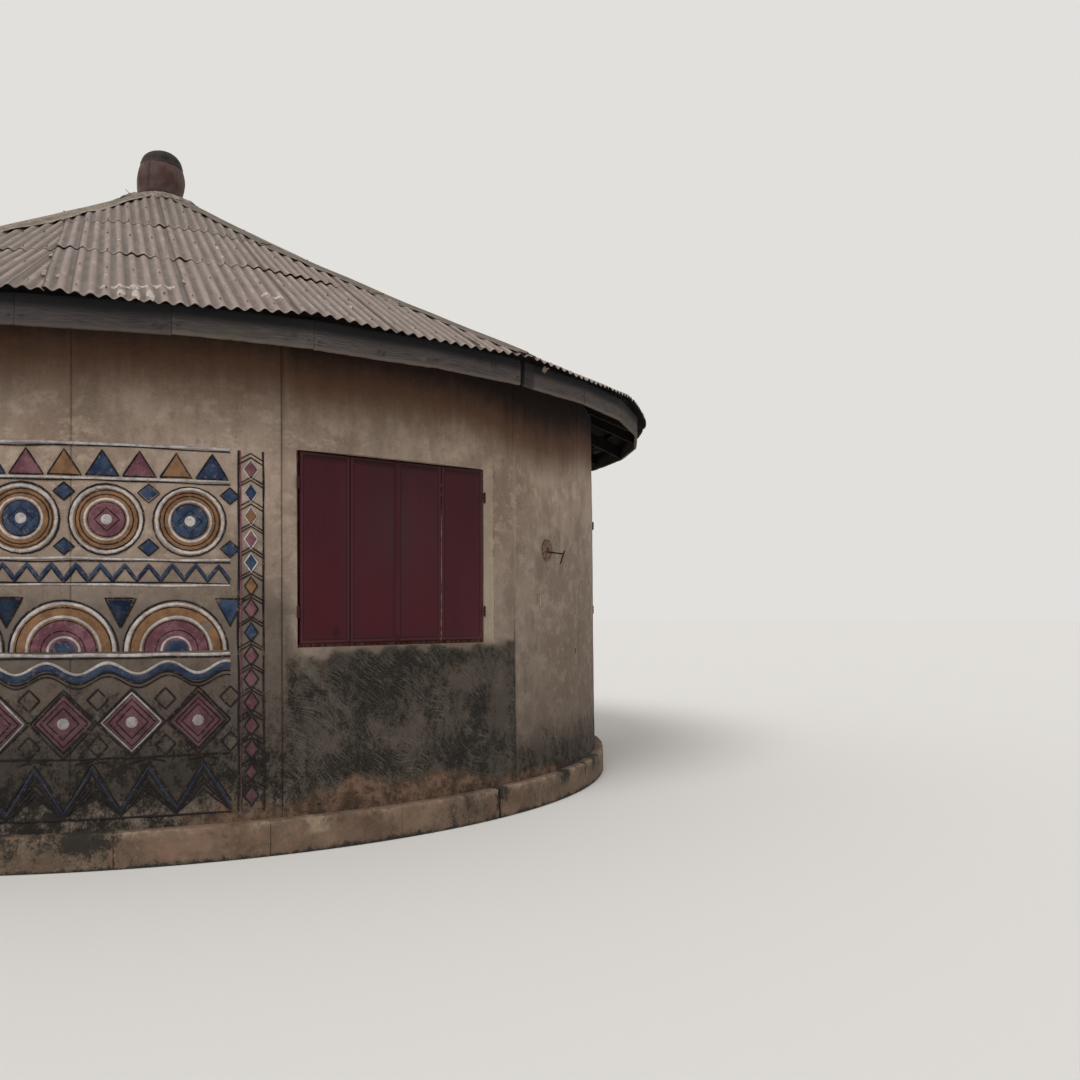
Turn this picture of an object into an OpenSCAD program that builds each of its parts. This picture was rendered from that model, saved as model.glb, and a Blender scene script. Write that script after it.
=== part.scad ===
/* [Wall] */
// Outer radius of the wall where it meets the paving
wall_foot_r = 4165; // [3600:5:4300]
// How far the outer face leans in from foot to head
wall_batter = 35; // [0:1:60]
// Thickness of the wall at its head
wall_t = 225; // [180:5:300]
// Depth of the V groove at each upright joint of the render
joint_depth = 6; // [1:1:15]
// Top of the floor slab above the paving
floor_top = 250; // [220:5:400]

/* [Bays] */
// Bays of plain wall, with as many bays that hold an opening between them
bay_pairs = 6; // [4:1:6]
// Angle of the middle of the first plain bay
first_bay_at = 13; // [0:0.5:30]
// Angle that a bay with an opening takes
opening_bay_span = 26.8; // [25:0.1:30]
// The opening bay, counted from the first window, that holds the doorway
door_bay = 4; // [1:1:4]

/* [Kerb] */
// Height of the kerb round the foot of the wall
kerb_h = 210; // [120:5:215]
// Width of the kerb on top
kerb_w = 78; // [50:1:150]
// Rounding of the kerb's outer top edge
kerb_round = 14; // [4:1:30]
// Number of kerb lengths in the ring
kerb_lengths = 30; // [20:1:40]
// Width of a joint between kerb lengths
kerb_joint = 4; // [2:1:10]
// Angle of the joint that has opened to a crack
kerb_crack_at = 52.3; // [50:0.1:58]
// Width of the crack
kerb_crack = 16; // [5:1:30]

/* [Windows] */
// Width of a window opening
window_w = 1480; // [1000:10:1500]
// Height of a window opening
window_h = 1235; // [900:5:1400]
// Sill of the windows above the paving
window_sill = 1255; // [900:5:1400]
// Angle from a bay's middle to its window's middle
window_turn = -1.8; // [-2:0.1:2]
// How far the shutters stand out of the wall at the jambs
shutter_proud = 6; // [0:1:20]
// Width of the steel section round a frame
frame_w = 30; // [20:1:60]
// Depth of the steel section round a frame
frame_d = 60; // [40:1:100]
// Number of leaves that close a window
leaf_count = 4; // [2:2:6]
// Thickness of a shutter leaf
leaf_t = 26; // [18:1:40]
// Width of the section that stiffens a leaf's edge
leaf_border = 24; // [15:1:50]
// Thickness of the leaf's steel skin
leaf_skin = 3; // [2:0.5:6]
// Gap between two leaves, and from the leaves to the head of the opening
leaf_gap = 4; // [3:1:10]
// Part of the frame that shows beside the outer leaves
leaf_side = 18; // [16:1:28]
// Part of the frame that shows under the leaves
leaf_foot = 22; // [4:1:28]
// Width of the strip that covers the gap between the middle leaves
strip_w = 28; // [20:1:40]
// Thickness of that strip
strip_t = 4; // [2:0.5:6]
// Radius of a hinge barrel
hinge_r = 9; // [6:0.5:10]
// Length of a hinge barrel
hinge_l = 70; // [50:5:150]
// Distance from a leaf's end to the middle of a hinge barrel
hinge_end = 200; // [100:10:400]

/* [Door] */
// Width of the doorway
door_w = 960; // [800:10:1100]
// Height of the doorway above the floor
door_h = 2060; // [1900:10:2200]
// Tread of the step before the doorway
step_d = 330; // [250:5:450]
// Width of the step before the doorway
step_w = 1300; // [1000:10:1500]
// Height of the step before the doorway
step_h = 125; // [80:5:200]

/* [Roof sheets] */
// Number of flat facets, with a rafter under each fold between them
facets = 18; // [15:3:24]
// Angle of the first of those folds
fold_at = 10.5; // [0:0.5:20]
// Distance that the sheets reach past the face of the fascia boards
sheet_reach = 82; // [40:1:150]
// Height of the eaves above the paving, to the underside of the sheets
eave_z = 3165; // [3100:5:3500]
// Radius at which the eave sheets end under the middle ones
lap_low_r = 3040; // [2600:10:3400]
// Radius at which the middle sheets end under the top ones
lap_high_r = 1630; // [1300:10:2000]
// Radius at which the top sheets end
top_r = 290; // [280:5:330]
// Rise over run of the eave sheets
slope_low = 0.468; // [0.4:0.002:0.48]
// Rise over run of the middle sheets
slope_mid = 0.486; // [0.48:0.002:0.51]
// Rise over run of the top sheets
slope_high = 0.53; // [0.51:0.002:0.6]
// Length of sheet that laps over the row below
lap = 130; // [60:5:200]
// Angle from a run's middle to the line that most of its sheets lie along
lay_turn = 1.5; // [-4:0.5:4]
// Angle from there to the line of the few sheets left of the seam
odd_turn = -7; // [-10:0.5:0]
// Corrugations from the run's middle to that seam
seam_waves = 10; // [6:1:20]
// Pitch of the corrugations
pitch = 76; // [60:1:180]
// Height of the corrugations from valley to crest
wave_h = 18; // [10:1:40]
// Thickness of the sheets
sheet_t = 4; // [2:0.5:8]
// Width of each wing of a hip cap
cap_wing = 115; // [80:5:160]
// Distance from the ends of the eave sheets to the end of a hip cap
cap_setback = 20; // [0:1:60]

/* [Timber] */
// Width of a rafter
rafter_w = 50; // [38:1:60]
// Depth of a rafter, measured upright
rafter_d = 110; // [90:1:160]
// Depth of the notch where a rafter sits on the wall plate
notch_d = 25; // [10:1:40]
// Side of a purlin
purlin_s = 50; // [38:1:75]
// Distance from the upper end of a row of sheets to the purlin under it
purlin_edge = 90; // [75:5:120]
// Width of the wall plate
plate_w = 100; // [75:1:120]
// Thickness of the wall plate
plate_t = 60; // [40:1:80]
// Distance from the room to the wall plate
plate_inset = 20; // [5:1:40]
// Distance from the foot of the wall out to the face of a fascia board
fascia_reach = 393; // [300:1:450]
// Thickness of a fascia board
fascia_t = 25; // [18:1:40]
// Height of a fascia board
fascia_h = 170; // [150:5:300]
// Gap where two boards have parted over a rafter
fascia_break = 44; // [5:1:46]
// Distance from the ends of the sheets' lower purlins to the fascia boards
purlin_setback = 10; // [2:1:40]
// Length of a short rafter past its upper purlin
jack_past = 150; // [60:5:300]
// Radius of the block that the rafters meet at
apex_block_r = 170; // [160:1:220]
// Height of that block
apex_block_h = 220; // [150:5:300]

/* [Finial] */
// Radius of the flashing collar at its lower edge
collar_r = 415; // [335:5:450]
// Width of the collar's flat top outside the drum's foot
collar_flat = 12; // [4:1:30]
// Largest radius of the finial drum
drum_r = 227; // [210:1:260]
// Radius of the drum at its foot
drum_foot_r = 200; // [150:1:205]
// Radius of the drum at its rim
drum_rim_r = 188; // [140:1:205]
// Height of the drum's widest part above its foot
drum_belly_h = 165; // [100:5:220]
// Height of the drum to its rim
drum_h = 370; // [280:5:450]
// Height of the domed lid above the rim
lid_h = 92; // [50:2:130]
// Distance that the lid's lip stands out past the rim
lid_lip = 4; // [1:1:10]
// Height of that lip
lip_h = 10; // [4:1:20]
// How far the finial leans
finial_lean = 3; // [0:0.5:5]

/* [Hook] */
// Angle of the hook on the wall
hook_at = 63.1; // [58:0.1:70]
// Height of the hook above the paving
hook_z = 1950; // [1500:10:2400]
// Radius of the hook's round back block
hook_block_r = 84; // [50:1:100]
// Thickness of the back block
hook_block_t = 28; // [15:1:50]
// Width of the raised rim round the back block
hook_rim = 15; // [5:1:25]
// Depth of the dish inside that rim
hook_dish = 12; // [2:1:14]
// Radius of the boss in the middle of the dish
hook_boss_r = 22; // [14:1:25]
// Radius of the hook's rod
hook_rod_r = 8; // [5:0.5:12]
// Reach of the rod from the block
hook_reach = 160; // [100:5:250]
// Length of the crosspiece at the rod's end
hook_cross = 110; // [60:5:200]

/* [Hidden] */
$fn = 360;
// Clearance where one piece rests on another
seat = 0.3;
// Extra length of a solid that only cuts or trims
over = 40;
// Straight steps that the drum's side takes
drum_steps = 12;
// Half of the gap between pieces that meet end to end
end_gap = 1.5;
// Facets that one run of parallel sheets covers, from hip to hip
run_facets = 3;

bay_span = 360 / bay_pairs;
plain_bay_span = bay_span - opening_bay_span;
wall_in_r = wall_foot_r - wall_batter - wall_t;
kerb_in_r = wall_foot_r + seat;
kerb_out_r = kerb_in_r + kerb_w;
kerb_span = 360 / kerb_lengths;

fascia_r = wall_foot_r + fascia_reach;
eave_r = fascia_r + sheet_reach;
facet_half = 180 / facets;
runs = facets / run_facets;
run_span = 360 / runs;
tier_slope = [slope_low, slope_mid, slope_high];
top_tier = len(tier_slope) - 1;
tier_outer = [eave_r, lap_low_r + lap, lap_high_r + lap];
tier_inner = [lap_low_r, lap_high_r, top_r];
purlin_count = [3, 2, 2];

// Pitch along a facet's middle, and along the fold between two facets
function facet_pitch(t) = atan(tier_slope[t]);
function fold_pitch(t) = line_pitch(t, facet_half);
// Pitch of a line on a facet that runs e degrees off the facet's middle, and the facet's fall
// to the right of that line, in the plane square to it
function line_pitch(t, e) = atan(tier_slope[t] * cos(e));
function line_fall(t, e) = tier_slope[t] * sin(e) * cos(line_pitch(t, e));
// What one row of sheets is lifted by where it laps over the row below
function lap_lift(t) = (sheet_t + seat) / cos(fold_pitch(t));
function tier_z(t) = t == 0 ? eave_z : roof_z(t - 1, tier_outer[t]) + lap_lift(t - 1);
// Height of the sheets' underside at a distance u from the axis, along a facet's middle
function roof_z(t, u) = tier_z(t) + tier_slope[t] * (tier_outer[t] - u);

// The ring of straight fascia boards, two to each facet
board_half = facet_half / 2;
fascia_back = fascia_r - fascia_t;
fascia_top = roof_z(0, fascia_r / cos(board_half)) - seat;
rafter_end_v = (fascia_back - rafter_w / 2 * sin(board_half)) / cos(board_half) - seat;

// Each purlin is its row of sheets and the distance of its outer edge from the axis
eave_purlin_u = fascia_back * cos(facet_half) - purlin_setback;
function last_purlin(t) = tier_inner[t] + purlin_edge;
function purlin_from(t) = t == 0 ? eave_purlin_u : last_purlin(t - 1);
purlin_list = [for (t = [0 : top_tier]) let (n = purlin_count[t], skip = t == 0 ? 0 : 1)
    for (i = [skip : n - 1 + skip])
        [t, purlin_from(t) - (purlin_from(t) - last_purlin(t)) * i / (n - 1 + skip)]];

// Where a purlin's underside bears on a rafter under a fold: [distance from the axis, height]
function bearing(p, w, side) = let (q = facet_pitch(p[0]), drop = purlin_s + seat,
    u = p[1] - drop * sin(q) - w * cos(q))
    [(u - side * sin(facet_half)) / cos(side > 0 ? facet_half : 0),
     roof_z(p[0], p[1]) + w * sin(q) - drop * cos(q) - seat];
function rafter_slope(p, side) = tier_slope[p[0]] * cos(side > 0 ? facet_half : 0);
// Top edge of a rafter: side is half its width under a fold, and 0 under a facet's middle
function rafter_top(list, side, v_out, v_in) = let (n = len(list) - 1,
    first = bearing(list[0], 0, side), last = bearing(list[n], purlin_s, side))
    concat([[v_out, first[1] - (v_out - first[0]) * rafter_slope(list[0], side)]],
        [for (p = list) for (w = [0, purlin_s]) bearing(p, w, side)],
        [[v_in, last[1] + (last[0] - v_in) * rafter_slope(list[n], side)]]);
main_top = rafter_top(purlin_list, rafter_w / 2, rafter_end_v, apex_block_r + seat);
jack_list = [purlin_list[0], purlin_list[1]];
jack_top = rafter_top(jack_list, 0, rafter_end_v, purlin_list[1][1] - jack_past);

plate_u = wall_in_r + plate_inset + plate_w;
plate_top = jack_top[0][1] + (rafter_end_v - plate_u) * slope_low - rafter_d + notch_d;
wall_h = plate_top - plate_t;

// Distance from the axis of the wall's outer face at a height z, and to a chord of it
function wall_r(z) = wall_foot_r - wall_batter * z / wall_h;
function chord_y(r, w) = sqrt(r * r - w * w / 4);
window_face = chord_y(wall_r(window_sill + window_h / 2), window_w) + shutter_proud;
leaf_w = (window_w - 2 * leaf_side - leaf_gap * (leaf_count - 1)) / leaf_count;
leaf_h = window_h - leaf_foot - leaf_gap;
door_head = floor_top + door_h;
door_face = chord_y(wall_r(door_head), door_w) - shutter_proud;

function bay_at(i) = first_bay_at + (i - 1) * bay_span;
function opening_at(i) = bay_at(i) + bay_span / 2;
window_bays = [for (i = [1 : bay_pairs]) if (i != door_bay) i];
windows = len(window_bays);
function hip_at(i) = fold_at - 2 * facet_half + (i - 1) * run_span;
function run_at(i) = hip_at(i + 0.5);
// The hip where two fascia boards have parted
parted_hip_number = 2;

// Half corrugations from the line that a run's sheets lie along to past its hips
wave_steps = ceil(2 * eave_r * sin(run_span / 2 + abs(lay_turn)) / pitch);
collar_neck_r = drum_foot_r + collar_flat;
function collar_z(r) = roof_z(top_tier, r * cos(facet_half))
    + (wave_h + 2 * (sheet_t + seat) + seat) / cos(fold_pitch(top_tier));
collar_t = sheet_t / cos(fold_pitch(top_tier));
collar_top = collar_z(collar_neck_r) + collar_t;

wall_color = "#8d7c6a";
kerb_color = "#8a7460";
steel_color = "#5a2430";
timber_color = "#5c5046";
board_color = "#5a5654";
sheet_color = "#8c7d76";
cap_color = "#8f877c";
drum_color = "#6b4a42";
rust_color = "#5b463c";

// Turns a piece made at the front, on the -Y side, to an angle round the axis
module turned(a) rotate([0, 0, a]) children();

// A ring sector of the given profile, centred on the front
module swept(span) rotate([0, 0, -90 - span / 2]) rotate_extrude(angle = span) children();

// A wedge that is half degrees wide to either side of the front, less a gap along each side
module wedge(half, gap) translate([0, -gap / sin(half), 0]) linear_extrude(2 * eave_z)
    polygon([[0, 0], [-2 * eave_r * tan(half), -2 * eave_r], [2 * eave_r * tan(half), -2 * eave_r]]);

// A box to the right of x, or to its left for mirrored use, that holds the whole wall
module right_of(x) translate([x, -2 * eave_r, -over]) cube([2 * eave_r, 2 * eave_r, 2 * eave_z]);
module left_of(x) mirror([1, 0, 0]) right_of(-x);

module floor_slab() color(kerb_color) cylinder(r = wall_in_r - seat, h = floor_top);

module kerb_profile() polygon(concat([[kerb_in_r, 0], [kerb_out_r, 0]],
    [for (a = [0 : 15 : 90]) [kerb_out_r - kerb_round * (1 - cos(a)), kerb_h - kerb_round * (1 - sin(a))]],
    [[kerb_in_r, kerb_h]]));

module kerb() color(kerb_color) difference() {
    for (i = [0 : kerb_lengths - 1]) turned(kerb_crack_at + (i + 0.5) * kerb_span)
        swept(kerb_span - kerb_joint / kerb_out_r * 180 / PI) kerb_profile();
    turned(kerb_crack_at) translate([-kerb_crack / 2, -kerb_out_r - over, -over])
        cube([kerb_crack, kerb_w + 2 * over, kerb_h + 2 * over]);
}

module wall_profile() polygon([[wall_in_r, 0], [wall_foot_r, 0],
    [wall_foot_r - wall_batter, wall_h], [wall_in_r, wall_h]]);

// The V groove of a render joint, along the battered face
module groove(a) turned(a) translate([0, -wall_foot_r, 0]) rotate([-atan(wall_batter / wall_h), 0, 0])
    translate([0, 0, wall_h / 2]) rotate([0, 0, 45])
        cube([joint_depth * sqrt(2), joint_depth * sqrt(2), 2 * wall_h], center = true);

// A bay of wall at the front, grooved at both ends
module bay_wall(span) difference() {
    swept(span) wall_profile();
    groove(-span / 2);
    groove(span / 2);
}

module plain_wall(i) color(wall_color) turned(bay_at(i)) difference() {
    bay_wall(plain_bay_span);
    groove(0);
}

module window_wall(i) color(wall_color) turned(opening_at(window_bays[i - 1])) difference() {
    bay_wall(opening_bay_span);
    turned(window_turn) translate([-window_w / 2, -wall_foot_r - over, window_sill])
        cube([window_w, wall_t + wall_batter + wall_foot_r - chord_y(wall_in_r, window_w) + 2 * over,
              window_h]);
}

module door_bay_wall() color(wall_color) turned(opening_at(door_bay)) children();

module door_wall_left() door_bay_wall() difference() {
    bay_wall(opening_bay_span);
    right_of(-door_w / 2);
}

module door_wall_right() door_bay_wall() difference() {
    bay_wall(opening_bay_span);
    left_of(door_w / 2);
}

module door_lintel() door_bay_wall() intersection() {
    swept(opening_bay_span) wall_profile();
    translate([-door_w / 2, -wall_foot_r - over, door_head]) cube([door_w, 2 * wall_t + over, wall_h]);
}

// The threshold fills the foot of the doorway, and the step stands before the kerb
module door_step() color(kerb_color) turned(opening_at(door_bay)) {
    intersection() {
        swept(opening_bay_span) translate([wall_in_r, 0]) square([wall_t + wall_batter, floor_top]);
        translate([-door_w / 2 + seat, -wall_foot_r - over, -over])
            cube([door_w - 2 * seat, 2 * wall_t + over, 2 * floor_top]);
    }
    difference() {
        translate([-step_w / 2, -kerb_out_r - step_d, 0]) cube([step_w, step_d + over, step_h]);
        translate([0, 0, -over]) cylinder(r = kerb_out_r + seat, h = step_h + 2 * over);
    }
}

// A rectangular steel frame in the plane of y = 0, its foot at z = 0
module steel_frame(w, h, foot) translate([-w / 2, 0, 0]) difference() {
    cube([w, frame_d, h]);
    translate([frame_w, -over, foot]) cube([w - 2 * frame_w, frame_d + 2 * over, h - foot - frame_w]);
}

module window_place(i) turned(opening_at(window_bays[i - 1]) + window_turn)
    translate([0, -window_face, window_sill]) children();

module window_frames() color(steel_color) for (i = [1 : windows]) window_place(i)
    translate([0, leaf_t + seat, seat]) steel_frame(window_w - 2 * seat, window_h - 2 * seat, frame_w);

// A leaf of sheet steel, stiffened round its edge at the back
module leaf() difference() {
    cube([leaf_w, leaf_t, leaf_h]);
    translate([leaf_border, leaf_skin, leaf_border])
        cube([leaf_w - 2 * leaf_border, leaf_t, leaf_h - 2 * leaf_border]);
}

// Hinge barrels stand at a leaf's outer edge, before the frame
module hinge_pair(x) for (z = [hinge_end, leaf_h - hinge_end])
    translate([x, -hinge_r / 2, z - hinge_l / 2]) cylinder(r = hinge_r, h = hinge_l);

// The leaves fold in pairs, and a flat strip on one covers the gap in the middle
module shutters(i) color(steel_color) window_place(i) translate([leaf_side - window_w / 2, 0, leaf_foot])
    for (k = [0 : leaf_count - 1]) translate([k * (leaf_w + leaf_gap), 0, 0]) {
        leaf();
        if (k == 0) hinge_pair(-hinge_r / 2);
        if (k == leaf_count - 1) hinge_pair(leaf_w + hinge_r / 2);
        if (k == leaf_count / 2) meeting_strip();
    }

// The strip stands on its own leaf, and clears the leaf beside it
module meeting_strip() {
    translate([0, -strip_t - seat, 0]) cube([strip_w / 2, strip_t + seat, leaf_h]);
    translate([-leaf_gap - strip_w / 2, -strip_t - seat, 0]) cube([leaf_gap + strip_w, strip_t, leaf_h]);
}

module door_frame() color(steel_color) turned(opening_at(door_bay))
    translate([0, -door_face, floor_top + seat]) steel_frame(door_w - 2 * seat, door_h - 2 * seat, -over);

// A bar of the wall plate lies on the wall along each facet
module wall_plate() color(timber_color) for (i = [0 : facets - 1]) turned(fold_at + (2 * i + 1) * facet_half)
    intersection() {
        translate([-eave_r / 2, -plate_u, wall_h]) cube([eave_r, plate_w, plate_t]);
        wedge(facet_half, end_gap);
    }

// A rafter's outline from its top edge, notched for the wall plate
module rafter(top, plate_out, plate_in) difference() {
    rotate([90, 0, -90]) translate([0, 0, -rafter_w / 2]) linear_extrude(rafter_w)
        polygon(concat(top, [for (i = [len(top) - 1 : -1 : 0]) top[i] - [0, rafter_d]]));
    translate([-rafter_w, -plate_out - seat, plate_top + seat - plate_t - rafter_d])
        cube([2 * rafter_w, plate_out - plate_in + 2 * seat, plate_t + rafter_d]);
}

module main_rafters() color(timber_color) for (i = [0 : facets - 1]) turned(fold_at + 2 * i * facet_half)
    rafter(main_top, plate_u / cos(facet_half),
        (plate_u - plate_w - rafter_w / 2 * sin(facet_half)) / cos(facet_half));

module jack_rafters() color(timber_color) for (i = [0 : facets - 1])
    turned(fold_at + (2 * i + 1) * facet_half) rafter(jack_top, plate_u, plate_u - plate_w);

// Straight purlins run from rafter to rafter under the sheets
module purlins() color(timber_color) for (i = [0 : facets - 1]) turned(fold_at + (2 * i + 1) * facet_half)
    for (p = purlin_list) intersection() {
        translate([0, -p[1], roof_z(p[0], p[1])]) rotate([facet_pitch(p[0]), 0, 0])
            translate([-p[1] * tan(facet_half), 0, -purlin_s - seat])
                cube([2 * p[1] * tan(facet_half), purlin_s, purlin_s]);
        wedge(facet_half, end_gap);
    }

module fascia_boards() color(board_color) difference() {
    for (i = [0 : 2 * facets - 1]) turned(fold_at + (2 * i + 1) * board_half) intersection() {
        translate([-fascia_r * tan(board_half), -fascia_r, fascia_top - fascia_h])
            cube([2 * fascia_r * tan(board_half), fascia_t, fascia_h]);
        wedge(board_half, end_gap);
    }
    turned(hip_at(parted_hip_number))
        translate([-fascia_break / 2, -eave_r, fascia_top - fascia_h - over])
            cube([fascia_break, eave_r / 2, fascia_h + 2 * over]);
}

module apex_block() color(timber_color) let (top = main_top[len(main_top) - 1][1])
    translate([0, 0, top - apex_block_h]) cylinder(r = apex_block_r, h = apex_block_h);

// Places a profile, drawn square to a line down the roof, along that line. The facet's middle is
// e degrees to the right of the line, and the profile's zero is the sheets' underside on it.
module along_line(t, e) let (p = line_pitch(t, e), length = tier_outer[t] / cos(p))
    translate([0, -tier_outer[t], roof_z(t, tier_outer[t] * cos(e))]) rotate([p, 0, 0])
        translate([0, length + over, 0]) rotate([90, 0, 0]) linear_extrude(length + 2 * over) children();

// Keeps what lies between two radii
module ring(inner, outer) difference() {
    cylinder(r = outer, h = 2 * eave_z);
    translate([0, 0, -over]) cylinder(r = inner, h = 2 * eave_z + 2 * over);
}

// A corrugation has a flat crest and a flat valley, each a quarter of the pitch wide
function wave_line(t, e, lift, first, last) = [for (k = [first : last]) for (s = [-1, 1])
    let (x = (k / 2 + s / 8) * pitch) [x, (k % 2 == 0 ? wave_h : 0) + lift - line_fall(t, e) * x]];
function reversed(list) = [for (i = [len(list) - 1 : -1 : 0]) list[i]];

// Sheets that lie along one line, over one facet of a run. Both angles are from the run's middle.
module sheets(t, facet, line, first, last) intersection() {
    turned(line) along_line(t, facet - line) polygon(concat(
        wave_line(t, facet - line, sheet_t, first, last),
        reversed(wave_line(t, facet - line, 0, first, last))));
    turned(facet) wedge(facet_half, end_gap);
    ring(tier_inner[t], tier_outer[t]);
}

// A run's sheets lie in three rows. In the lower two, those left of the seam have their own angle.
module roof_run(i) color(sheet_color) turned(run_at(i)) for (t = [0 : top_tier])
    for (facet = [-2 * facet_half : 2 * facet_half : 2 * facet_half]) {
        sheets(t, facet, lay_turn, t < top_tier ? -2 * seam_waves : -wave_steps, wave_steps);
        if (t < top_tier && facet <= 0) difference() {
            sheets(t, facet, lay_turn + odd_turn, -wave_steps, 0);
            turned(lay_turn) right_of(-seam_waves * pitch - pitch / 8 - 2 * end_gap);
        }
    }

// A folded strip over the crests of both runs
function cap_line(t, lift) = [for (x = [-cap_wing, 0, cap_wing])
    [x, wave_h + sheet_t + seat + lift - line_fall(t, facet_half) * abs(x)]];

module hip_caps() color(cap_color) for (i = [1 : runs]) turned(hip_at(i)) for (t = [0 : top_tier])
    intersection() {
        along_line(t, facet_half) polygon(concat(cap_line(t, sheet_t), reversed(cap_line(t, 0))));
        ring(t == top_tier ? top_r : tier_outer[t + 1] + end_gap, tier_outer[t] - (t == 0 ? cap_setback : 0));
    }

// The collar is a low cone with a flat top that the drum stands on
module apex_collar() color(cap_color) rotate_extrude() polygon([
    [0, collar_top - collar_t], [collar_neck_r, collar_top - collar_t],
    [collar_r, collar_z(collar_r)], [collar_r, collar_z(collar_r) + collar_t],
    [collar_neck_r, collar_top], [0, collar_top]]);

module leaning() translate([0, 0, collar_top + seat]) rotate([0, finial_lean, 0]) children();

// The drum's side is two parabolas that meet at its widest part
function drum_side(h) = h < drum_belly_h
    ? drum_r - (drum_r - drum_foot_r) * pow(1 - h / drum_belly_h, 2)
    : drum_r - (drum_r - drum_rim_r) * pow((h - drum_belly_h) / (drum_h - drum_belly_h), 2);

module finial_drum() color(drum_color) intersection() {
    leaning() rotate_extrude() polygon(concat([[0, -over], [drum_foot_r, -over]],
        [for (k = [0 : drum_steps]) let (h = drum_h * k / drum_steps) [drum_side(h), h]], [[0, drum_h]]));
    translate([0, 0, collar_top + seat]) cylinder(r = 2 * drum_r, h = 2 * drum_h);
}

module finial_lid() color(rust_color) leaning() translate([0, 0, drum_h]) rotate_extrude()
    polygon(concat([[0, 0], [drum_rim_r + lid_lip, 0], [drum_rim_r + lid_lip, lip_h]],
        [for (a = [10 : 10 : 80]) [drum_rim_r * cos(a), lid_h * sin(a)]], [[0, lid_h]]));

// A round dished block with a rod and a leaning crosspiece
module wall_hook() color(rust_color) turned(hook_at)
    translate([0, -wall_r(hook_z - hook_block_r) - seat, hook_z]) rotate([90, 0, 0]) {
        difference() {
            cylinder(r = hook_block_r, h = hook_block_t);
            translate([0, 0, hook_block_t - hook_dish]) cylinder(r = hook_block_r - hook_rim, h = over);
        }
        cylinder(r = hook_boss_r, h = hook_block_t);
        cylinder(r = hook_rod_r, h = hook_block_t + hook_reach);
        translate([0, 0, hook_block_t + hook_reach - hook_rod_r]) rotate([90, 0, 20])
            cylinder(r = hook_rod_r, h = hook_cross, center = true);
    }

floor_slab();
kerb();
for (i = [1 : bay_pairs]) plain_wall(i);
for (i = [1 : windows]) window_wall(i);
door_wall_left();
door_wall_right();
door_lintel();
window_frames();
for (i = [1 : windows]) shutters(i);
door_frame();
door_step();
wall_plate();
main_rafters();
jack_rafters();
purlins();
fascia_boards();
apex_block();
for (i = [1 : runs]) roof_run(i);
hip_caps();
apex_collar();
finial_drum();
finial_lid();
wall_hook();
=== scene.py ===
import math
import bpy
import numpy as np
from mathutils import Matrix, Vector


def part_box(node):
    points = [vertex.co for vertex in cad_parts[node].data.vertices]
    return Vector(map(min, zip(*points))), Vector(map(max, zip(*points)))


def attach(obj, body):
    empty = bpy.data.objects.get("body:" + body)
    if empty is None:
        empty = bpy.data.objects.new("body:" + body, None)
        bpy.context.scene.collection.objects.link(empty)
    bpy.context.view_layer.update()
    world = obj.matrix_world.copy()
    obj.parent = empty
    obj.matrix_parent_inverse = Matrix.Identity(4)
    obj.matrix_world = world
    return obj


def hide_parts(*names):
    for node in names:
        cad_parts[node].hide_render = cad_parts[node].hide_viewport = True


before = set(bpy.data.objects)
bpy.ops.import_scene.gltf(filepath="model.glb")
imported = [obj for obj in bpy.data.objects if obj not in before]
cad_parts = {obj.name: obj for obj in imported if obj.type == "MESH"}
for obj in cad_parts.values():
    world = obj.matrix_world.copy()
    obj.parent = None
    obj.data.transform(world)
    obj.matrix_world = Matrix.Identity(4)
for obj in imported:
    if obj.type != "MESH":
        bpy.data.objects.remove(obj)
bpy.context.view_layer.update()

# The view: a level camera at eye height, to the right of the axis, where the photograph was taken.
# The floor and sky are plain and pale, with light from all round and one broad lamp high on the left.
scene = bpy.context.scene
scene.view_settings.view_transform = "Standard"
eye_place = (3.645, -10.161, 1.52)
eye_lens = 35.31
horizon_rise = 0.0604
sun_strength = 1.5
sun_width = 26
sun_height = 46
sun_from = -22
sky_light = 0.62
floor_reach = 90
floor_drop = 0.004
floor_roughness = 0.95


def paint(red, green, blue):
    """A colour as a paint chart gives it, from 0 to 255, for a shader's socket."""
    return (*(((part / 255 + 0.055) / 1.055) ** 2.4 for part in (red, green, blue)), 1)


def feed(made, feeds):
    """Sets a node's inputs to plain values, or links them to what other nodes put out."""
    for key, value in feeds.items():
        if isinstance(value, Value):
            made.id_data.links.new(value.socket, made.inputs[key])
        else:
            made.inputs[key].default_value = value
    return made


def node(tree, kind, feeds=None, **settings):
    """Adds a shader node with its settings and feeds."""
    made = tree.nodes.new("ShaderNode" + kind)
    for key, value in settings.items():
        setattr(made, key, value)
    return feed(made, feeds or {})


class Value:
    """What a node puts out, with sums written as they are for plain numbers."""

    def __init__(self, made, output=0):
        self.socket = made.outputs[output]
        self.tree = made.id_data

    def maths(self, operation, *others):
        return Value(node(self.tree, "Math", dict(enumerate([self, *others])), operation=operation))

    def __add__(self, other):
        return self.maths("ADD", other)

    def __mul__(self, other):
        return self.maths("MULTIPLY", other)

    def fade(self, low, high):
        """A mask that goes smoothly from 0 at low to 1 at high."""
        feeds = {"Value": self, "From Min": low, "From Max": high}
        return Value(node(self.tree, "MapRange", feeds, interpolation_type="SMOOTHSTEP"))


eye = bpy.data.objects.new("eye", bpy.data.cameras.new("eye"))
eye.location = eye_place
eye.rotation_euler = (math.radians(90), 0, 0)
eye.data.lens = eye_lens
eye.data.shift_y = horizon_rise
scene.collection.objects.link(eye)
scene.camera = eye

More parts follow.
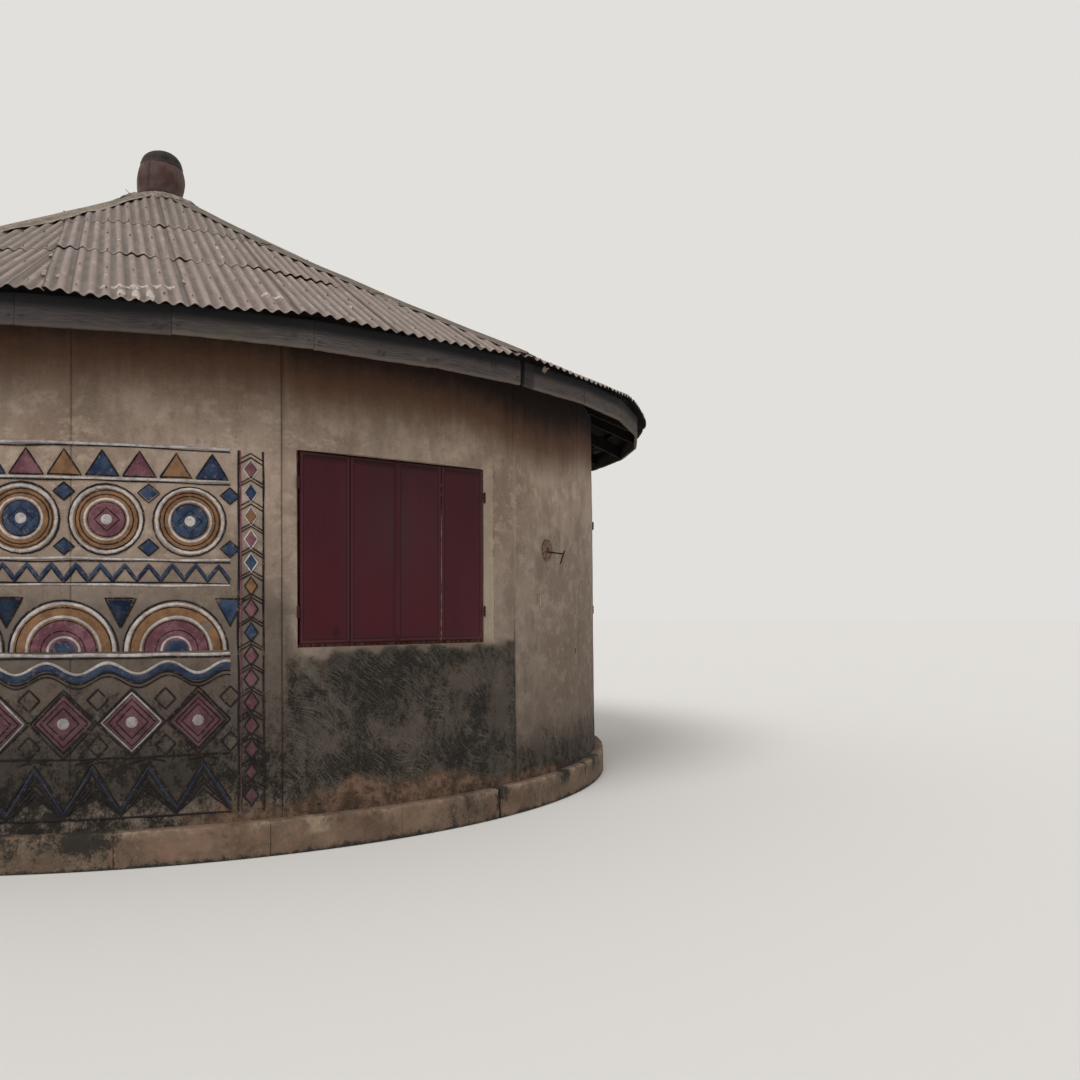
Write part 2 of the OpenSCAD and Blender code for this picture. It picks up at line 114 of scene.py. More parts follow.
sun = bpy.data.objects.new("sun", bpy.data.lights.new("sun", "SUN"))
sun.data.energy = sun_strength
sun.data.angle = math.radians(sun_width)
sun.rotation_euler = (math.radians(90 - sun_height), 0, math.radians(sun_from))
scene.collection.objects.link(sun)

sky = bpy.data.worlds.new("sky")
sky.use_nodes = True
scene.world = sky
sky.node_tree.nodes.clear()
ray = node(sky.node_tree, "LightPath")
seen = Value(ray, "Is Camera Ray")
for kind in ("Is Glossy Ray", "Is Transmission Ray"):
    seen = seen.maths("MAXIMUM", Value(ray, kind))
glow = node(sky.node_tree, "Background", {"Color": paint(250, 250, 250), "Strength": sky_light})
pale = node(sky.node_tree, "Background", {"Color": paint(226, 224, 220), "Strength": 1.0})
both = node(sky.node_tree, "MixShader", {0: seen, 1: Value(glow), 2: Value(pale)})
node(sky.node_tree, "OutputWorld", {"Surface": Value(both)})

floor_mesh = bpy.data.meshes.new("floor")
floor_corners = [(x * floor_reach, y * floor_reach, -floor_drop)
                 for x, y in ((-1, -1), (1, -1), (1, 1), (-1, 1))]
floor_mesh.from_pydata(floor_corners, [], [(0, 1, 2, 3)])
floor = bpy.data.objects.new("floor", floor_mesh)
floor_finish = bpy.data.materials.new("floor_finish")
floor_finish.use_nodes = True
feed(floor_finish.node_tree.nodes["Principled BSDF"],
     {"Base Color": paint(230, 227, 222), "Roughness": floor_roughness})
floor_mesh.materials.append(floor_finish)
scene.collection.objects.link(floor)

# Kerb: short lengths of concrete cast round the foot of the wall, their top edges worn and chipped.
# One joint at the right of the view has opened to a crack, and damp has blackened the ends beside it.
kerb_lengths = 30
kerb_width = 0.078
kerb_round = 0.014
kerb_joint = 0.004
kerb_crack_at = 52.3
kerb_crack = 0.02
kerb_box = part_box("kerb")
kerb_out = kerb_box[1].x
kerb_in = kerb_out - kerb_width
kerb_top = kerb_box[1].z
kerb_stations = 26
kerb_edge = np.array([0] * 7 + [0.4, 0.8, 1, 1, 1, 1, 0.7, 0.3, 0, 0, 0, 0])
kerb_worn_at = 32.4
kerb_chip = 0.014
kerb_damp = ((kerb_crack_at, 0.25, 1.3), (kerb_crack_at + 1.0, 0.8, 0.5), (65.3, 1.1, 1.0), (71.5, 0.5, 0.6),
             (77, 3.0, 0.8), (7.8, 1.2, 0.75), (14.0, 2.1, 0.7))


def spots(*axes):
    """Points from their three coordinates, spread over a grid."""
    return np.stack(np.broadcast_arrays(*axes), -1)


def uneven(points, size, seed):
    """Smooth heights between about -1 and 1 at the points, in lumps of about the given size."""
    waves = 10
    draw = np.random.default_rng(seed)
    heading = draw.normal(size=(waves, 3))
    heading /= np.linalg.norm(heading, axis=1)[:, None]
    heading *= (2 * math.pi / (size * draw.uniform(1, 2.8, waves)))[:, None]
    start = draw.uniform(0, 2 * math.pi, waves)
    return np.sin(points @ heading.T + start).sum(-1) / math.sqrt(waves)


def round_house(angle, radius, height):
    """Points from angles in degrees, counted from the front towards the right, radii and heights."""
    turn = np.radians(angle)
    return spots(radius * np.sin(turn), -radius * np.cos(turn), height)


def ease(value, low, high):
    """A smooth step from 0 at low to 1 at high."""
    share = np.clip((np.asarray(value, float) - low) / (high - low), 0, 1)
    return share * share * (3 - 2 * share)


def bulge(value, at, wide):
    """A smooth bump of height 1."""
    return np.exp(-((value - at) / wide) ** 2)


def quads(grid):
    return np.stack([grid[:-1, :-1], grid[:-1, 1:], grid[1:, 1:], grid[1:, :-1]], -1)


def strip(one, other):
    """Faces between two lines of points, or between two grids line by line."""
    return np.stack([one[:-1], other[:-1], other[1:], one[1:]], -1)


def closed_part(points, faces, shape, times, marks):
    """A part with its faces turned out and its marks spread over its points."""
    corner = points[faces[:, 0]]
    volume = sum((corner * np.cross(points[faces[:, a]], points[faces[:, a + 1]])).sum() for a in (1, 2))
    spread = {key: np.tile(np.broadcast_to(mark, shape).ravel(), times) for key, mark in marks.items()}
    return points, faces if volume > 0 else faces[:, ::-1], spread


def tube(loops, **marks):
    """A closed part from rings of points along it, its ends filled with strips."""
    rings, count = loops.shape[:2]
    index = np.arange(rings * count).reshape(rings, count)
    side = strip(index, np.roll(index, -1, 1)).reshape(-1, 4)
    low = np.arange((count - 1) // 2)
    cap = np.stack([low, low + 1, count - 2 - low, count - 1 - low], 1)
    far = cap + (rings - 1) * count
    faces = np.concatenate([side, cap[:, ::-1], far])
    return closed_part(loops.reshape(-1, 3), faces, (rings, count), 1, marks)


def plate(front, back, **marks):
    """A closed part between two grids of points of the same size."""
    shape = front.shape[:2]
    count = shape[0] * shape[1]
    index = np.arange(count).reshape(shape)
    skin = quads(index).reshape(-1, 4)
    rim = np.concatenate([index[0, :-1], index[:-1, -1], index[-1, :0:-1], index[:0:-1, 0]])
    ahead = np.roll(rim, -1)
    sides = np.stack([ahead, rim, rim + count, ahead + count], 1)
    faces = np.concatenate([skin, skin[:, ::-1] + count, sides])
    return closed_part(np.concatenate([front.reshape(-1, 3), back.reshape(-1, 3)]), faces, shape, 2, marks)


def make(name, parts, finish, stands_for=(), sharp=38):
    """Makes a piece from its parts, each of them points, faces and marks, to stand for its CAD nodes."""
    start = np.cumsum([0] + [len(part[0]) for part in parts])
    faces = np.concatenate([part[1] + first for part, first in zip(parts, start)]).tolist()
    mesh = bpy.data.meshes.new(name)
    mesh.from_pydata(np.concatenate([part[0] for part in parts]).tolist(), [],
                     [[c for c, after in zip(face, [*face[1:], face[0]]) if c != after] for face in faces])
    for key in dict.fromkeys(key for part in parts for key in part[2]):
        mark = [np.broadcast_to(np.float32(part[2].get(key, 0)), len(part[0])) for part in parts]
        mesh.attributes.new(key, "FLOAT", "POINT").data.foreach_set("value", np.concatenate(mark))
    mesh.polygons.foreach_set("use_smooth", [True] * len(mesh.polygons))
    mesh.set_sharp_from_angle(angle=math.radians(sharp))
    mesh.materials.append(finish.material)
    piece = bpy.data.objects.new(name, mesh)
    scene.collection.objects.link(piece)
    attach(piece, "root")
    if stands_for:
        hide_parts(*stands_for)


def dress(finish, *names):
    """Gives CAD nodes a finish of their own."""
    for name in names:
        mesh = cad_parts[name].data
        mesh.materials.clear()
        mesh.materials.append(finish.material)


def noise(place, detail=4.0, rough=0.6, scale=1.0, bent=0.0):
    feeds = {"Vector": place, "Scale": scale, "Detail": detail, "Roughness": rough, "Distortion": bent}
    return Value(node(place.tree, "TexNoise", feeds))


def lumps(place, size, tall=1, detail=4.0, rough=0.6):
    """Cloudy noise with features of about the size, in metres, drawn out upwards."""
    scale = (1 / size, 1 / size, 1 / (size * tall))
    return noise(Value(node(place.tree, "Mapping", {"Vector": place, "Scale": scale})), detail, rough)


def spot_of(*axes):
    """A place for a noise from three values."""
    return Value(node(axes[0].tree, "CombineXYZ", dict(enumerate(axes))))


class Finish:
    """A material that is built up in coats of colour."""

    def __init__(self, name, roughness, metallic=0.0, specular=0.3):
        self.material = bpy.data.materials.new(name)
        self.material.use_nodes = True
        self.tree = self.material.node_tree
        self.shader = self.tree.nodes["Principled BSDF"]
        feed(self.shader, {"Roughness": roughness, "Metallic": metallic, "Specular IOR Level": specular})
        self.place = Value(node(self.tree, "TexCoord"), "Object")

    def lumps(self, *shape):
        return lumps(self.place, *shape)

    def mark(self, name):
        """A mark that a mesh carries on its points."""
        return Value(node(self.tree, "Attribute", attribute_name=name), "Fac")

    def group(self, group, **feeds):
        """Places a node group and gives what it puts out by name."""
        made = node(self.tree, "Group", {"Place": self.place, **feeds}, node_tree=group)
        return {out.name: Value(made, out.name) for out in made.outputs}

    def coats(self, tone, *coats):
        """The colour of coats laid over one tone. A coat is a mask, the values between which the mask
        fades in, a colour and a share. The mask is a value, a mark's name or the shape of its lumps."""
        for mask, fade, colour, *share in coats:
            if not isinstance(mask, Value):
                mask = self.mark(mask) if isinstance(mask, str) else self.lumps(*mask)
            mask = mask.fade(*fade) if fade else mask
            mask = mask * share[0] if share else mask
            under, over = (c if isinstance(c, Value) else paint(*c) for c in (tone, colour))
            tone = Value(node(self.tree, "Mix", {0: mask, 6: under, 7: over}, data_type="RGBA"), 2)
        return tone

    def colour(self, tone, *coats):
        feed(self.shader, {"Base Color": self.coats(tone, *coats)})

    def dent(self, height, depth, strength=1.0):
        """Dents the surface, by a height in metres or by the shape of its lumps."""
        height = height if isinstance(height, Value) else self.lumps(*height)
        bump = node(self.tree, "Bump", {"Height": height, "Distance": depth, "Strength": strength})
        feed(self.shader, {"Normal": Value(bump)})


def new_group(name, number, *outputs):
    """An empty node group that is fed a place and a number: the group, both of these and its end."""
    tree = bpy.data.node_groups.new(name, "ShaderNodeTree")
    tree.interface.new_socket(name="Place", in_out="INPUT", socket_type="NodeSocketVector")
    tree.interface.new_socket(name=number, in_out="INPUT", socket_type="NodeSocketFloat")
    for key in outputs:
        tree.interface.new_socket(name=key, in_out="OUTPUT", socket_type="NodeSocketFloat")
    start = tree.nodes.new("NodeGroupInput")
    return tree, Value(start, "Place"), Value(start, number), tree.nodes.new("NodeGroupOutput")


# Sand and cement in the wall, kerb, floor and step: broad cloudy tones, sand grain and small pits.
grit, grit_place, grit_size, grit_end = new_group("grit", "Size", "Cloud", "Grain", "Height")
grit_place = Value(node(grit, "VectorMath", {0: grit_place, 1: grit_size}, operation="DIVIDE"))
grain = noise(grit_place, 3.0, 0.7, 46.0)
pit = Value(node(grit, "TexVoronoi", {"Vector": grit_place, "Scale": 24.0}), "Distance").fade(0.0, 0.16)
grit_height = noise(grit_place, 5.0, 0.55, 9.0) + grain * 0.28 + pit * 0.12
feed(grit_end, {"Cloud": noise(grit_place, 7.0, 0.62), "Grain": grain, "Height": grit_height})

# Damp that has turned black: a thin film, thick where the mark is strong, speckled and streaked downwards.
mould, mould_place, amount, mould_end = new_group("mould", "Amount", "Mask", "Film")
mould_level = amount * 0.8 + -1.42
for size, tall, share in ((0.17, 1.2, 1.3), (0.055, 1.3, 1.2), (0.014, 1.2, 1.1), (0.005, 1.0, 0.5)):
    mould_level = mould_level + lumps(mould_place, size, tall, 7.0, 0.72) * share
for key, low, high in (("Mask", 0.9, 1.26), ("Film", 0.65, 1.1)):
    feed(mould_end, {key: mould_level.fade(low, high) * amount.fade(0.02, 0.3)})

kerb_finish = Finish("kerb_concrete", 0.92)
sand = kerb_finish.group(grit, Size=0.35)
damp = kerb_finish.group(mould, Amount=kerb_finish.mark("damp"))
worn_patches = kerb_finish.mark("worn") * kerb_finish.lumps(0.14, 1, 8.0, 0.7).fade(0.44, 0.62)
kerb_finish.colour((95, 77, 62),
                   (sand["Cloud"], (0.34, 0.68), (128, 107, 90)),
                   (sand["Grain"], (0.56, 0.74), (132, 112, 94)),
                   ((0.13, 1, 6.0, 0.7), (0.48, 0.64), (80, 64, 52), 0.55),
                   ((0.03, 1, 5.0, 0.7), (0.54, 0.68), (136, 112, 92), 0.5),
                   (worn_patches, None, (152, 132, 112)),
                   ((0.22, 1, 6.0, 0.66), (0.5, 0.66), (134, 98, 84), 0.45),
                   (damp["Film"], None, (86, 78, 66), 0.5),
                   (damp["Mask"], None, (46, 41, 36)))
kerb_finish.dent(sand["Height"], 0.006, 0.8)


def kerb_length(number):
    """One length of kerb: its section is drawn round, then worn, and swept round the wall."""
    first = kerb_crack_at + number * 360 / kerb_lengths
    last = first + 360 / kerb_lengths
    bend = np.radians(np.linspace(0, 90, 5))[1:]
    radius = np.concatenate([np.full(9, kerb_out), kerb_out - kerb_round * (1 - np.cos(bend)),
                             np.linspace(kerb_out - kerb_round, kerb_in, 6)[1:], [kerb_in]])
    height = np.concatenate([np.linspace(0, kerb_top - kerb_round, 9),
                             kerb_top - kerb_round * (1 - np.sin(bend)), np.full(5, kerb_top), [0]])
    zigzag = 0.012 * np.interp(height, np.linspace(0, kerb_top, 6), [0, 1, -0.4, 1.2, -1, 0.6])
    before = kerb_crack / 2 + zigzag if number == 0 else kerb_joint / 2
    behind = kerb_crack / 2 - zigzag if number == kerb_lengths - 1 else kerb_joint / 2
    start, end = first + np.degrees(before / kerb_out), last - np.degrees(behind / kerb_out)
    angle = start + (end - start) * np.linspace(0, 1, kerb_stations)[:, None]
    body = round_house(angle, radius, height)
    wear = uneven(body, 0.09, 3) * 0.0022 + uneven(body, 0.025, 4) * 0.001
    chip = ease(uneven(body, 0.3, 5) + 0.6 * uneven(body, 0.05, 6), 0.5, 2.2) * kerb_edge * kerb_chip
    inset = np.clip(0.0012 - wear + chip, 0, 1) * (height > 0.001) * (radius > kerb_in + 0.001)
    body = round_house(angle, radius - inset * (radius > kerb_in + 0.01), height - inset * kerb_edge)
    seen_at = (angle + 180) % 360 - 180
    near = sum(much * bulge(seen_at, at, wide) for at, wide, much in kerb_damp)
    near = near * (0.8 + 0.35 * uneven(body, 0.12, 8))
    damp = (near * (0.1 + 0.9 * ease(height, 0.05, 0.18)) + 0.18 + 0.2 * uneven(body, 0.8, 7)
            + bulge(seen_at, 9, 8) * 0.12 * (0.6 + 0.4 * ease(height, 0.02, 0.2)))
    worn = np.maximum(0.9 * kerb_edge, 1.3 * bulge(seen_at, kerb_worn_at, 1.1) * (height > 0.1))
    return tube(body, damp=np.clip(np.maximum(damp, 0.8 - height * 18), 0, 1), worn=np.clip(worn, 0, 1))


make("kerb_round_the_wall", [kerb_length(n) for n in range(kerb_lengths)], kerb_finish, ["kerb"])

# Floor and step: a slab cast inside the wall, level with the doorway, and one step cast before it.
# Both are finished with a smooth screed of sand and cement.
screed = Finish("floor_screed", 0.85)
sand = screed.group(grit, Size=0.9)
screed.colour((112, 98, 84),
              (sand["Cloud"], (0.35, 0.65), (142, 126, 108)),
              ((0.35, 1, 6.0), (0.52, 0.7), (152, 124, 96)))
screed.dent(sand["Height"], 0.004, 0.6)
dress(screed, "floor_slab", "door_step")

# Wall: masonry rendered with floated sand and cement, grooved at each joint between bays.
# The head is dark from smoke and drips and from painted shade under the eaves, the foot from splashing, and
# under a window it was patched.
hair_gap = 0.0003
wall_foot = kerb_in - hair_gap
wall_batter = 0.035
wall_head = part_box("plain_wall_1")[1].z
wall_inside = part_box("floor_slab")[1].x + hair_gap
joint_depth = 0.006
first_bay_at = 13
bay_span = 60
opening_span = 26.8
plain_span = bay_span - opening_span
left_joint = 29.8
right_joint = 56.5
window_width = 1.48
window_height = 1.235
window_sill = 1.255
window_turn = -1.8
door_bay = 4
door_width = 0.96
floor_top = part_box("floor_slab")[1].z
door_head = floor_top + 2.06
fine_cell = 0.024
coarse_cell = 0.06
fine_until = 92
grime_up = (0.2, 0.4, 0.5, 0.65, 0.9, 1.3, 1.7, 2.1, 2.4)
grime_there = (0.8, 0.82, 0.7, 0.54, 0.46, 0.32, 0.24, 0.14, 0)
relief_grime_up = (0.2, 0.32, 0.42, 0.6, 0.9, 1.1, 1.3, 1.5, 1.7, 1.9, 2.3)
relief_grime_there = (0.4, 0.55, 0.9, 0.84, 0.78, 0.72, 0.66, 0.6, 0.34, 0.16, 0)
dust_at = (30, 33, 36, 40, 47, 50, 54, 57, 60, 66)
dust_up = (0.34, 0.35, 0.42, 0.39, 0.41, 0.35, 0.31, 0.28, 0.32, 0.25)
patch_spots = ((37.9, 0.98, 4.4, 0.14, 0.34), (41.2, 1.13, 3.4, 0.08, 0.3), (46.5, 1.14, 2.2, 0.07, 0.34),
               (51.0, 0.79, 1.4, 0.17, 0.3), (32.8, 0.47, 3.2, 0.14, 0.24), (38.0, 0.5, 1.8, 0.1, 0.32),
               (47.2, 0.5, 2.8, 0.1, 0.34), (53.2, 0.5, 2.4, 0.1, 0.2), (48.4, 0.99, 2.2, 0.1, -0.38),
               (42.4, 0.65, 3.0, 0.1, -0.26), (53.9, 0.84, 1.2, 0.26, -0.4), (33.2, 0.65, 1.8, 0.1, -0.15))


def wall_radius(height):
    return wall_foot - wall_batter * height / wall_head


def steps(marks, cell):
    """Values from the first mark to the last that take in each mark, no further apart than a cell."""
    marks = sorted(marks)
    runs = [np.linspace(a, b, max(2, math.ceil((b - a) / cell) + 1))[:-1] for a, b in zip(marks, marks[1:])]
    return np.concatenate([*runs, [marks[-1]]])


def between(value, rise_from, rise_to, fall_from, fall_to):
    """A mask that eases in and out again."""
    return ease(value, rise_from, rise_to) * (1 - ease(value, fall_from, fall_to))


def wall_marks(angle, height):
    """Where the wall is grimy, mouldy, patched, dusty or smooth, and where soot and painted shade under the
    eaves darken its head, from 0 to 1.
    """
    def blot(at, up, wide, tall):
        return np.exp(-((angle - at) / wide) ** 2 - ((height - up) / tall) ** 2)
    spot = round_house(angle, wall_foot, height)
    first = between(angle, 29.7, 30.2, 56.2, 56.9)
    others = 1 - between(angle, 28, 29.6, 57, 62)
    relief = between(angle, -4, -2, 29.9, 31.0)
    patch_top = height + 0.025 * uneven(spot, 0.12, 15) + 0.04 * (1 - ease(angle, 33, 39))
    patch = first * (1 - ease(patch_top, 1.2, 1.29))
    # Soot at the head, deepened as painted shade where the eaves shade the wall.
    soot_and_eave_shade = height - 2.62 + 0.13 * between(angle, 46, 62, 66, 76) - 0.07 * relief
    scrape = sum((1 - 0.13 * k) * blot(31.4 + 0.62 * k, 1.15 - 0.05 * k, 0.42, 0.032) for k in range(6))
    grime = np.interp(height, grime_up, grime_there)
    relief_grime = np.interp(height, relief_grime_up, relief_grime_there)
    grime = np.maximum(grime + (relief_grime - grime) * relief, patch * 0.8)
    grime = grime + 0.3 * blot(42, 1.22, 9, 0.09) * first - 0.22 * np.clip(scrape, 0, 1)
    damp = patch * 0.5 + sum(much * blot(*where) for *where, much in patch_spots)
    damp = damp - 0.5 * np.clip(scrape, 0, 1)
    foot = 0.55 * (1 - ease(height, 0.2, 0.85)) * (0.6 + 0.4 * np.sin(np.radians(angle * 7)))
    from_window = (angle - 41.2 + 30) % 60 - 30
    under = 0.5 * bulge(from_window, 0, 9) * (1 - ease(height, 0.9, 1.27))
    sodden = 0.5 * (1 - ease(height, 0.5, 1.5))
    sodden = sodden + 0.22 * (1 - ease(height, 0.25, 0.6)) * (1 - ease(angle, 15, 24))
    green = 0.72 * between(angle, 56.4, 57.2, 90, 100) * (1 - ease(height, 0.3, 0.75))
    green = green * (0.8 + 0.25 * uneven(spot, 0.5, 16))
    crack = 1.2 * blot(kerb_crack_at, 0.1, 0.25, 0.08)
    damp = np.maximum.reduce([damp, foot * others, under * others, sodden * relief, green, crack])
    dust_top = np.interp(angle, dust_at, dust_up) + 0.02 * uneven(spot, 0.16, 17)
    dust = (1 - ease(height, dust_top - 0.09, dust_top + 0.08)) * (0.25 + 0.75 * ease(angle, 19, 25))
    smooth = 0.7 * scrape + 0.9 * ease(np.abs(angle - right_joint), 0.3, 0.1) * ease(height, 1.5, 1.8)
    pale_line = between(angle, 51.2, 51.5, 53.6, 54) * between(height, 1.22, 1.3, 2.5, 2.6)
    return {"damp": np.clip(damp, 0, 1), "patch": patch, "dust": dust * between(angle, -4, 0, 64, 74),
            "smooth": np.clip(smooth, 0, 1), "grime": grime, "soot_and_eave_shade": np.clip(soot_and_eave_shade / 0.5, -1, 2),
            "strip": pale_line}


def wall_part(middle, angles, heights, hole=None, jamb=None):
    """A closed part of wall. Angles are from the middle of its bay, and lines near an opening are upright."""
    columns, rows = len(angles), len(heights)
    straight, edge = 0, 1
    if jamb:
        straight = 1 - ease(np.abs(angles), jamb + 0.01, max(abs(angles[0]), abs(angles[-1])))
        edge = ease(np.abs(np.abs(angles) - jamb), 0.0, 0.5)
    up = heights[:, None]
    sideways = np.sin(np.radians(angles)) * wall_radius(window_sill)
    flat, flat_in = (np.degrees(np.arcsin(np.clip(sideways / radius, -1, 1)))
                     for radius in (wall_radius(up), wall_inside))
    here = middle + (angles + (flat - angles) * straight)
    joints = [np.abs((here - first_bay_at - shift + bay_span / 2) % bay_span - bay_span / 2)
              for shift in (plain_span / 2, -plain_span / 2, 0)]
    nearest = np.minimum.reduce(joints) * math.radians(wall_foot)
    body = round_house(here, wall_radius(up), up)
    marks = wall_marks(here, up + 0 * here)
    strong = bulge(here, left_joint, 1.5) + bulge(here, right_joint, 1.5) * (1 - 1.5 * ease(up, 1.2, 1.6))
    marks["groove"] = (1 - ease(nearest, 0.001, 0.0085)) * (0.4 + 0.6 * np.clip(strong, -0.6, 1))
    cut = np.clip(joint_depth * (0.75 + 0.35 * uneven(body, 0.3, 11)) - nearest * 0.8, 0, None)
    rough = uneven(body, 0.5, 12) * 0.0014 + uneven(body, 0.12, 13) * 0.0006
    rough = rough + marks["patch"] * (0.0012 + 0.0012 * uneven(body, 0.07, 14)) + marks["smooth"] * 0.001
    outer = round_house(here, wall_radius(up) - cut + rough * edge, up)
    keys = [0, *(hole[1] if hole else ()), rows - 1]
    inner = round_house(middle + (angles + (flat_in - angles) * straight), wall_inside, up[keys])
    out = np.arange(rows * columns).reshape(rows, columns)
    into = rows * columns + np.arange(len(keys) * columns).reshape(len(keys), columns)
    skin, lining = quads(out), quads(into)[:, :, ::-1]
    faces = [strip(out[0], into[0]), strip(into[-1], out[-1])]
    fans = [(out[:, 0], into[:, 0]), (into[:, -1][::-1], out[:, -1][::-1])]
    keep, keep_in = np.ones(skin.shape[:2], bool), np.ones(lining.shape[:2], bool)
    if hole:
        (left, right), (low, high) = hole
        keep[low:high, left:right] = False
        keep_in[1, left:right] = False
        across = slice(left, right + 1)
        faces += [strip(into[1, across], out[low, across]), strip(out[high, across], into[2, across])]
        fans += [(into[1:3, left], out[low:high + 1, left]), (out[low:high + 1, right], into[1:3, right])]
    for one, other in fans:
        longer, shorter = (one, other) if len(one) > len(other) else (other, one)
        share = np.zeros(len(longer) - 1, int)
        if len(shorter) > 2:
            share = np.searchsorted(keys, np.arange(len(longer) - 1), side="right") - 1
        ahead = np.append(share[1:], len(shorter) - 1)
        fan = np.stack([longer[:-1], shorter[share], shorter[ahead], longer[1:]], 1)
        faces.append(fan if longer is one else fan[:, ::-1])
    faces = np.concatenate([skin[keep], lining[keep_in], *faces])
    inside = np.zeros(into.size)
    marks = {key: np.concatenate([mark.ravel(), inside]) for key, mark in marks.items()}
    marks["room"] = np.concatenate([np.zeros(out.size), inside + 1])
    return np.concatenate([outer.reshape(-1, 3), inner.reshape(-1, 3)]), faces, marks


wall_finish = Finish("wall_render", 0.93, specular=0.2)
sand = wall_finish.group(grit, Size=0.75)
damp = wall_finish.group(mould, Amount=wall_finish.mark("damp"))
patch = wall_finish.mark("patch")
drip = wall_finish.lumps(0.07, 7, 6.0, 0.65)
trowel = wall_finish.lumps(0.15, 0.7, 6.0, 0.7)
soot_and_eave_shade = wall_finish.mark("soot_and_eave_shade") + (trowel * 0.3 + -0.15) + (drip * 0.3 + -0.15)
scratch_from = math.radians(42)
scratch_fall = math.radians(36)
level = (math.cos(scratch_from), math.sin(scratch_from))
beside = (level[0] * math.sin(scratch_fall), level[1] * math.sin(scratch_fall), math.cos(scratch_fall))
down_it = (level[0] * math.cos(scratch_fall), level[1] * math.cos(scratch_fall), -math.sin(scratch_fall))
beside, down_it = (Value(node(wall_finish.tree, "VectorMath", {0: wall_finish.place, 1: way},
                              operation="DOT_PRODUCT"), "Value") for way in (beside, down_it))
beside = beside * 120.0 + wall_finish.lumps(0.5, 1, 1.0) * 40.0
scratch = noise(spot_of(beside, down_it * 7.0), 3.0, 0.5).fade(0.5, 0.62)
scratch = scratch * patch * wall_finish.lumps(0.2, 1, 3.0).fade(0.42, 0.56)
salt = wall_finish.lumps(0.007, 1, 2.0).fade(0.56, 0.66) * patch
dust = wall_finish.mark("dust")
dusty = (dust + (wall_finish.lumps(0.15, 1, 8.0, 0.7) * 3.8 + -1.95)) * dust
dust_tone = wall_finish.coats((76, 60, 48), ((0.12, 1, 8.0, 0.75), (0.42, 0.6), (118, 94, 77)),
                              ((0.05, 1, 7.0, 0.7), (0.52, 0.62), (56, 44, 37), 0.55))
axes = node(wall_finish.tree, "SeparateXYZ", {0: wall_finish.place})
facing = Value(axes, "X").maths("ARCTAN2", Value(axes, "Y") * -1.0) * (180 / math.pi)
ragged = wall_finish.lumps(0.035, 1.6, 6.0, 0.7) * 1.1 + facing
pale_strip = wall_finish.mark("strip") * ragged.fade(53.62, 53.5)
strip_edge = wall_finish.mark("strip") * (ragged + -53.6).maths("ABSOLUTE").fade(0.07, 0.0)
wall_finish.colour((140, 121, 106),
                   (sand["Cloud"], (0.34, 0.66), (170, 151, 135)),
                   (trowel, (0.48, 0.62), (184, 166, 149), 0.6),
                   ((0.24, 1.875, 8.0, 0.62), (0.5, 0.64), (128, 112, 98), 0.6),
                   ((0.05, 1.3, 5.0, 0.68), (0.52, 0.7), (120, 101, 86), 0.45),
                   (drip, (0.52, 0.72), (124, 106, 91), 0.25),
                   ((0.012, 1, 2.0), (0.63, 0.71), (86, 70, 58), 0.35),
                   (sand["Grain"], (0.5, 0.75), (184, 168, 150), 0.3),
                   ("smooth", None, (176, 160, 140), 0.5),
                   (patch, None, (124, 114, 102), 0.4),
                   (wall_finish.mark("grime") * (sand["Cloud"] * 0.9 + 0.55), None, (48, 44, 41)),
                   # Soot and painted shade under the eaves: reddish brown, then near black towards the head.
                   (soot_and_eave_shade, (-0.08, 0.6), (100, 74, 58)),
                   (soot_and_eave_shade, (0.46, 1.12), (40, 28, 25)),
                   (damp["Film"], None, (72, 64, 54), 0.6),
                   (damp["Mask"], None, (26, 24, 22), 0.9),
                   (salt, None, (118, 110, 98), 0.35),
                   (scratch, None, (116, 108, 97), 0.34),
                   ("groove", None, (44, 35, 30), 0.75),
                   (dusty, (0.1, 0.75), dust_tone),
                   (pale_strip, None, (186, 170, 148), 0.4),
                   (strip_edge, None, (96, 76, 62), 0.6),
                   ("room", None, (150, 140, 124)))
wall_finish.dent(trowel * 0.8 + (scratch * -0.35 + sand["Height"]), 0.008, 0.8)


def jamb_angle(width):
    return math.degrees(math.asin(width / 2 / wall_radius(window_sill)))


def bay_lines(half, cell, marks):
    """Angles across a bay, with close lines beside each groove."""
    close = math.degrees(joint_depth * 1.3 / wall_foot)
    lines = [mark + off * close for mark in marks for off in (-1, -0.5, 0, 0.5, 1)]
    return steps([-half, *(a for a in lines if -half < a < half), half], math.degrees(cell / wall_foot))


def wall_piece(name, stands_for, *shape):
    make(name, [wall_part(*shape)], wall_finish, [stands_for])


for bay in range(1, 7):
    middle = first_bay_at + (bay - 1) * bay_span
    half = plain_span / 2
    cell = fine_cell if middle < fine_until else coarse_cell
    lines = bay_lines(half, cell, (-half, 0, half))
    wall_piece(f"plain_bay_{bay}", f"plain_wall_{bay}", middle, lines, steps([0, wall_head], cell))

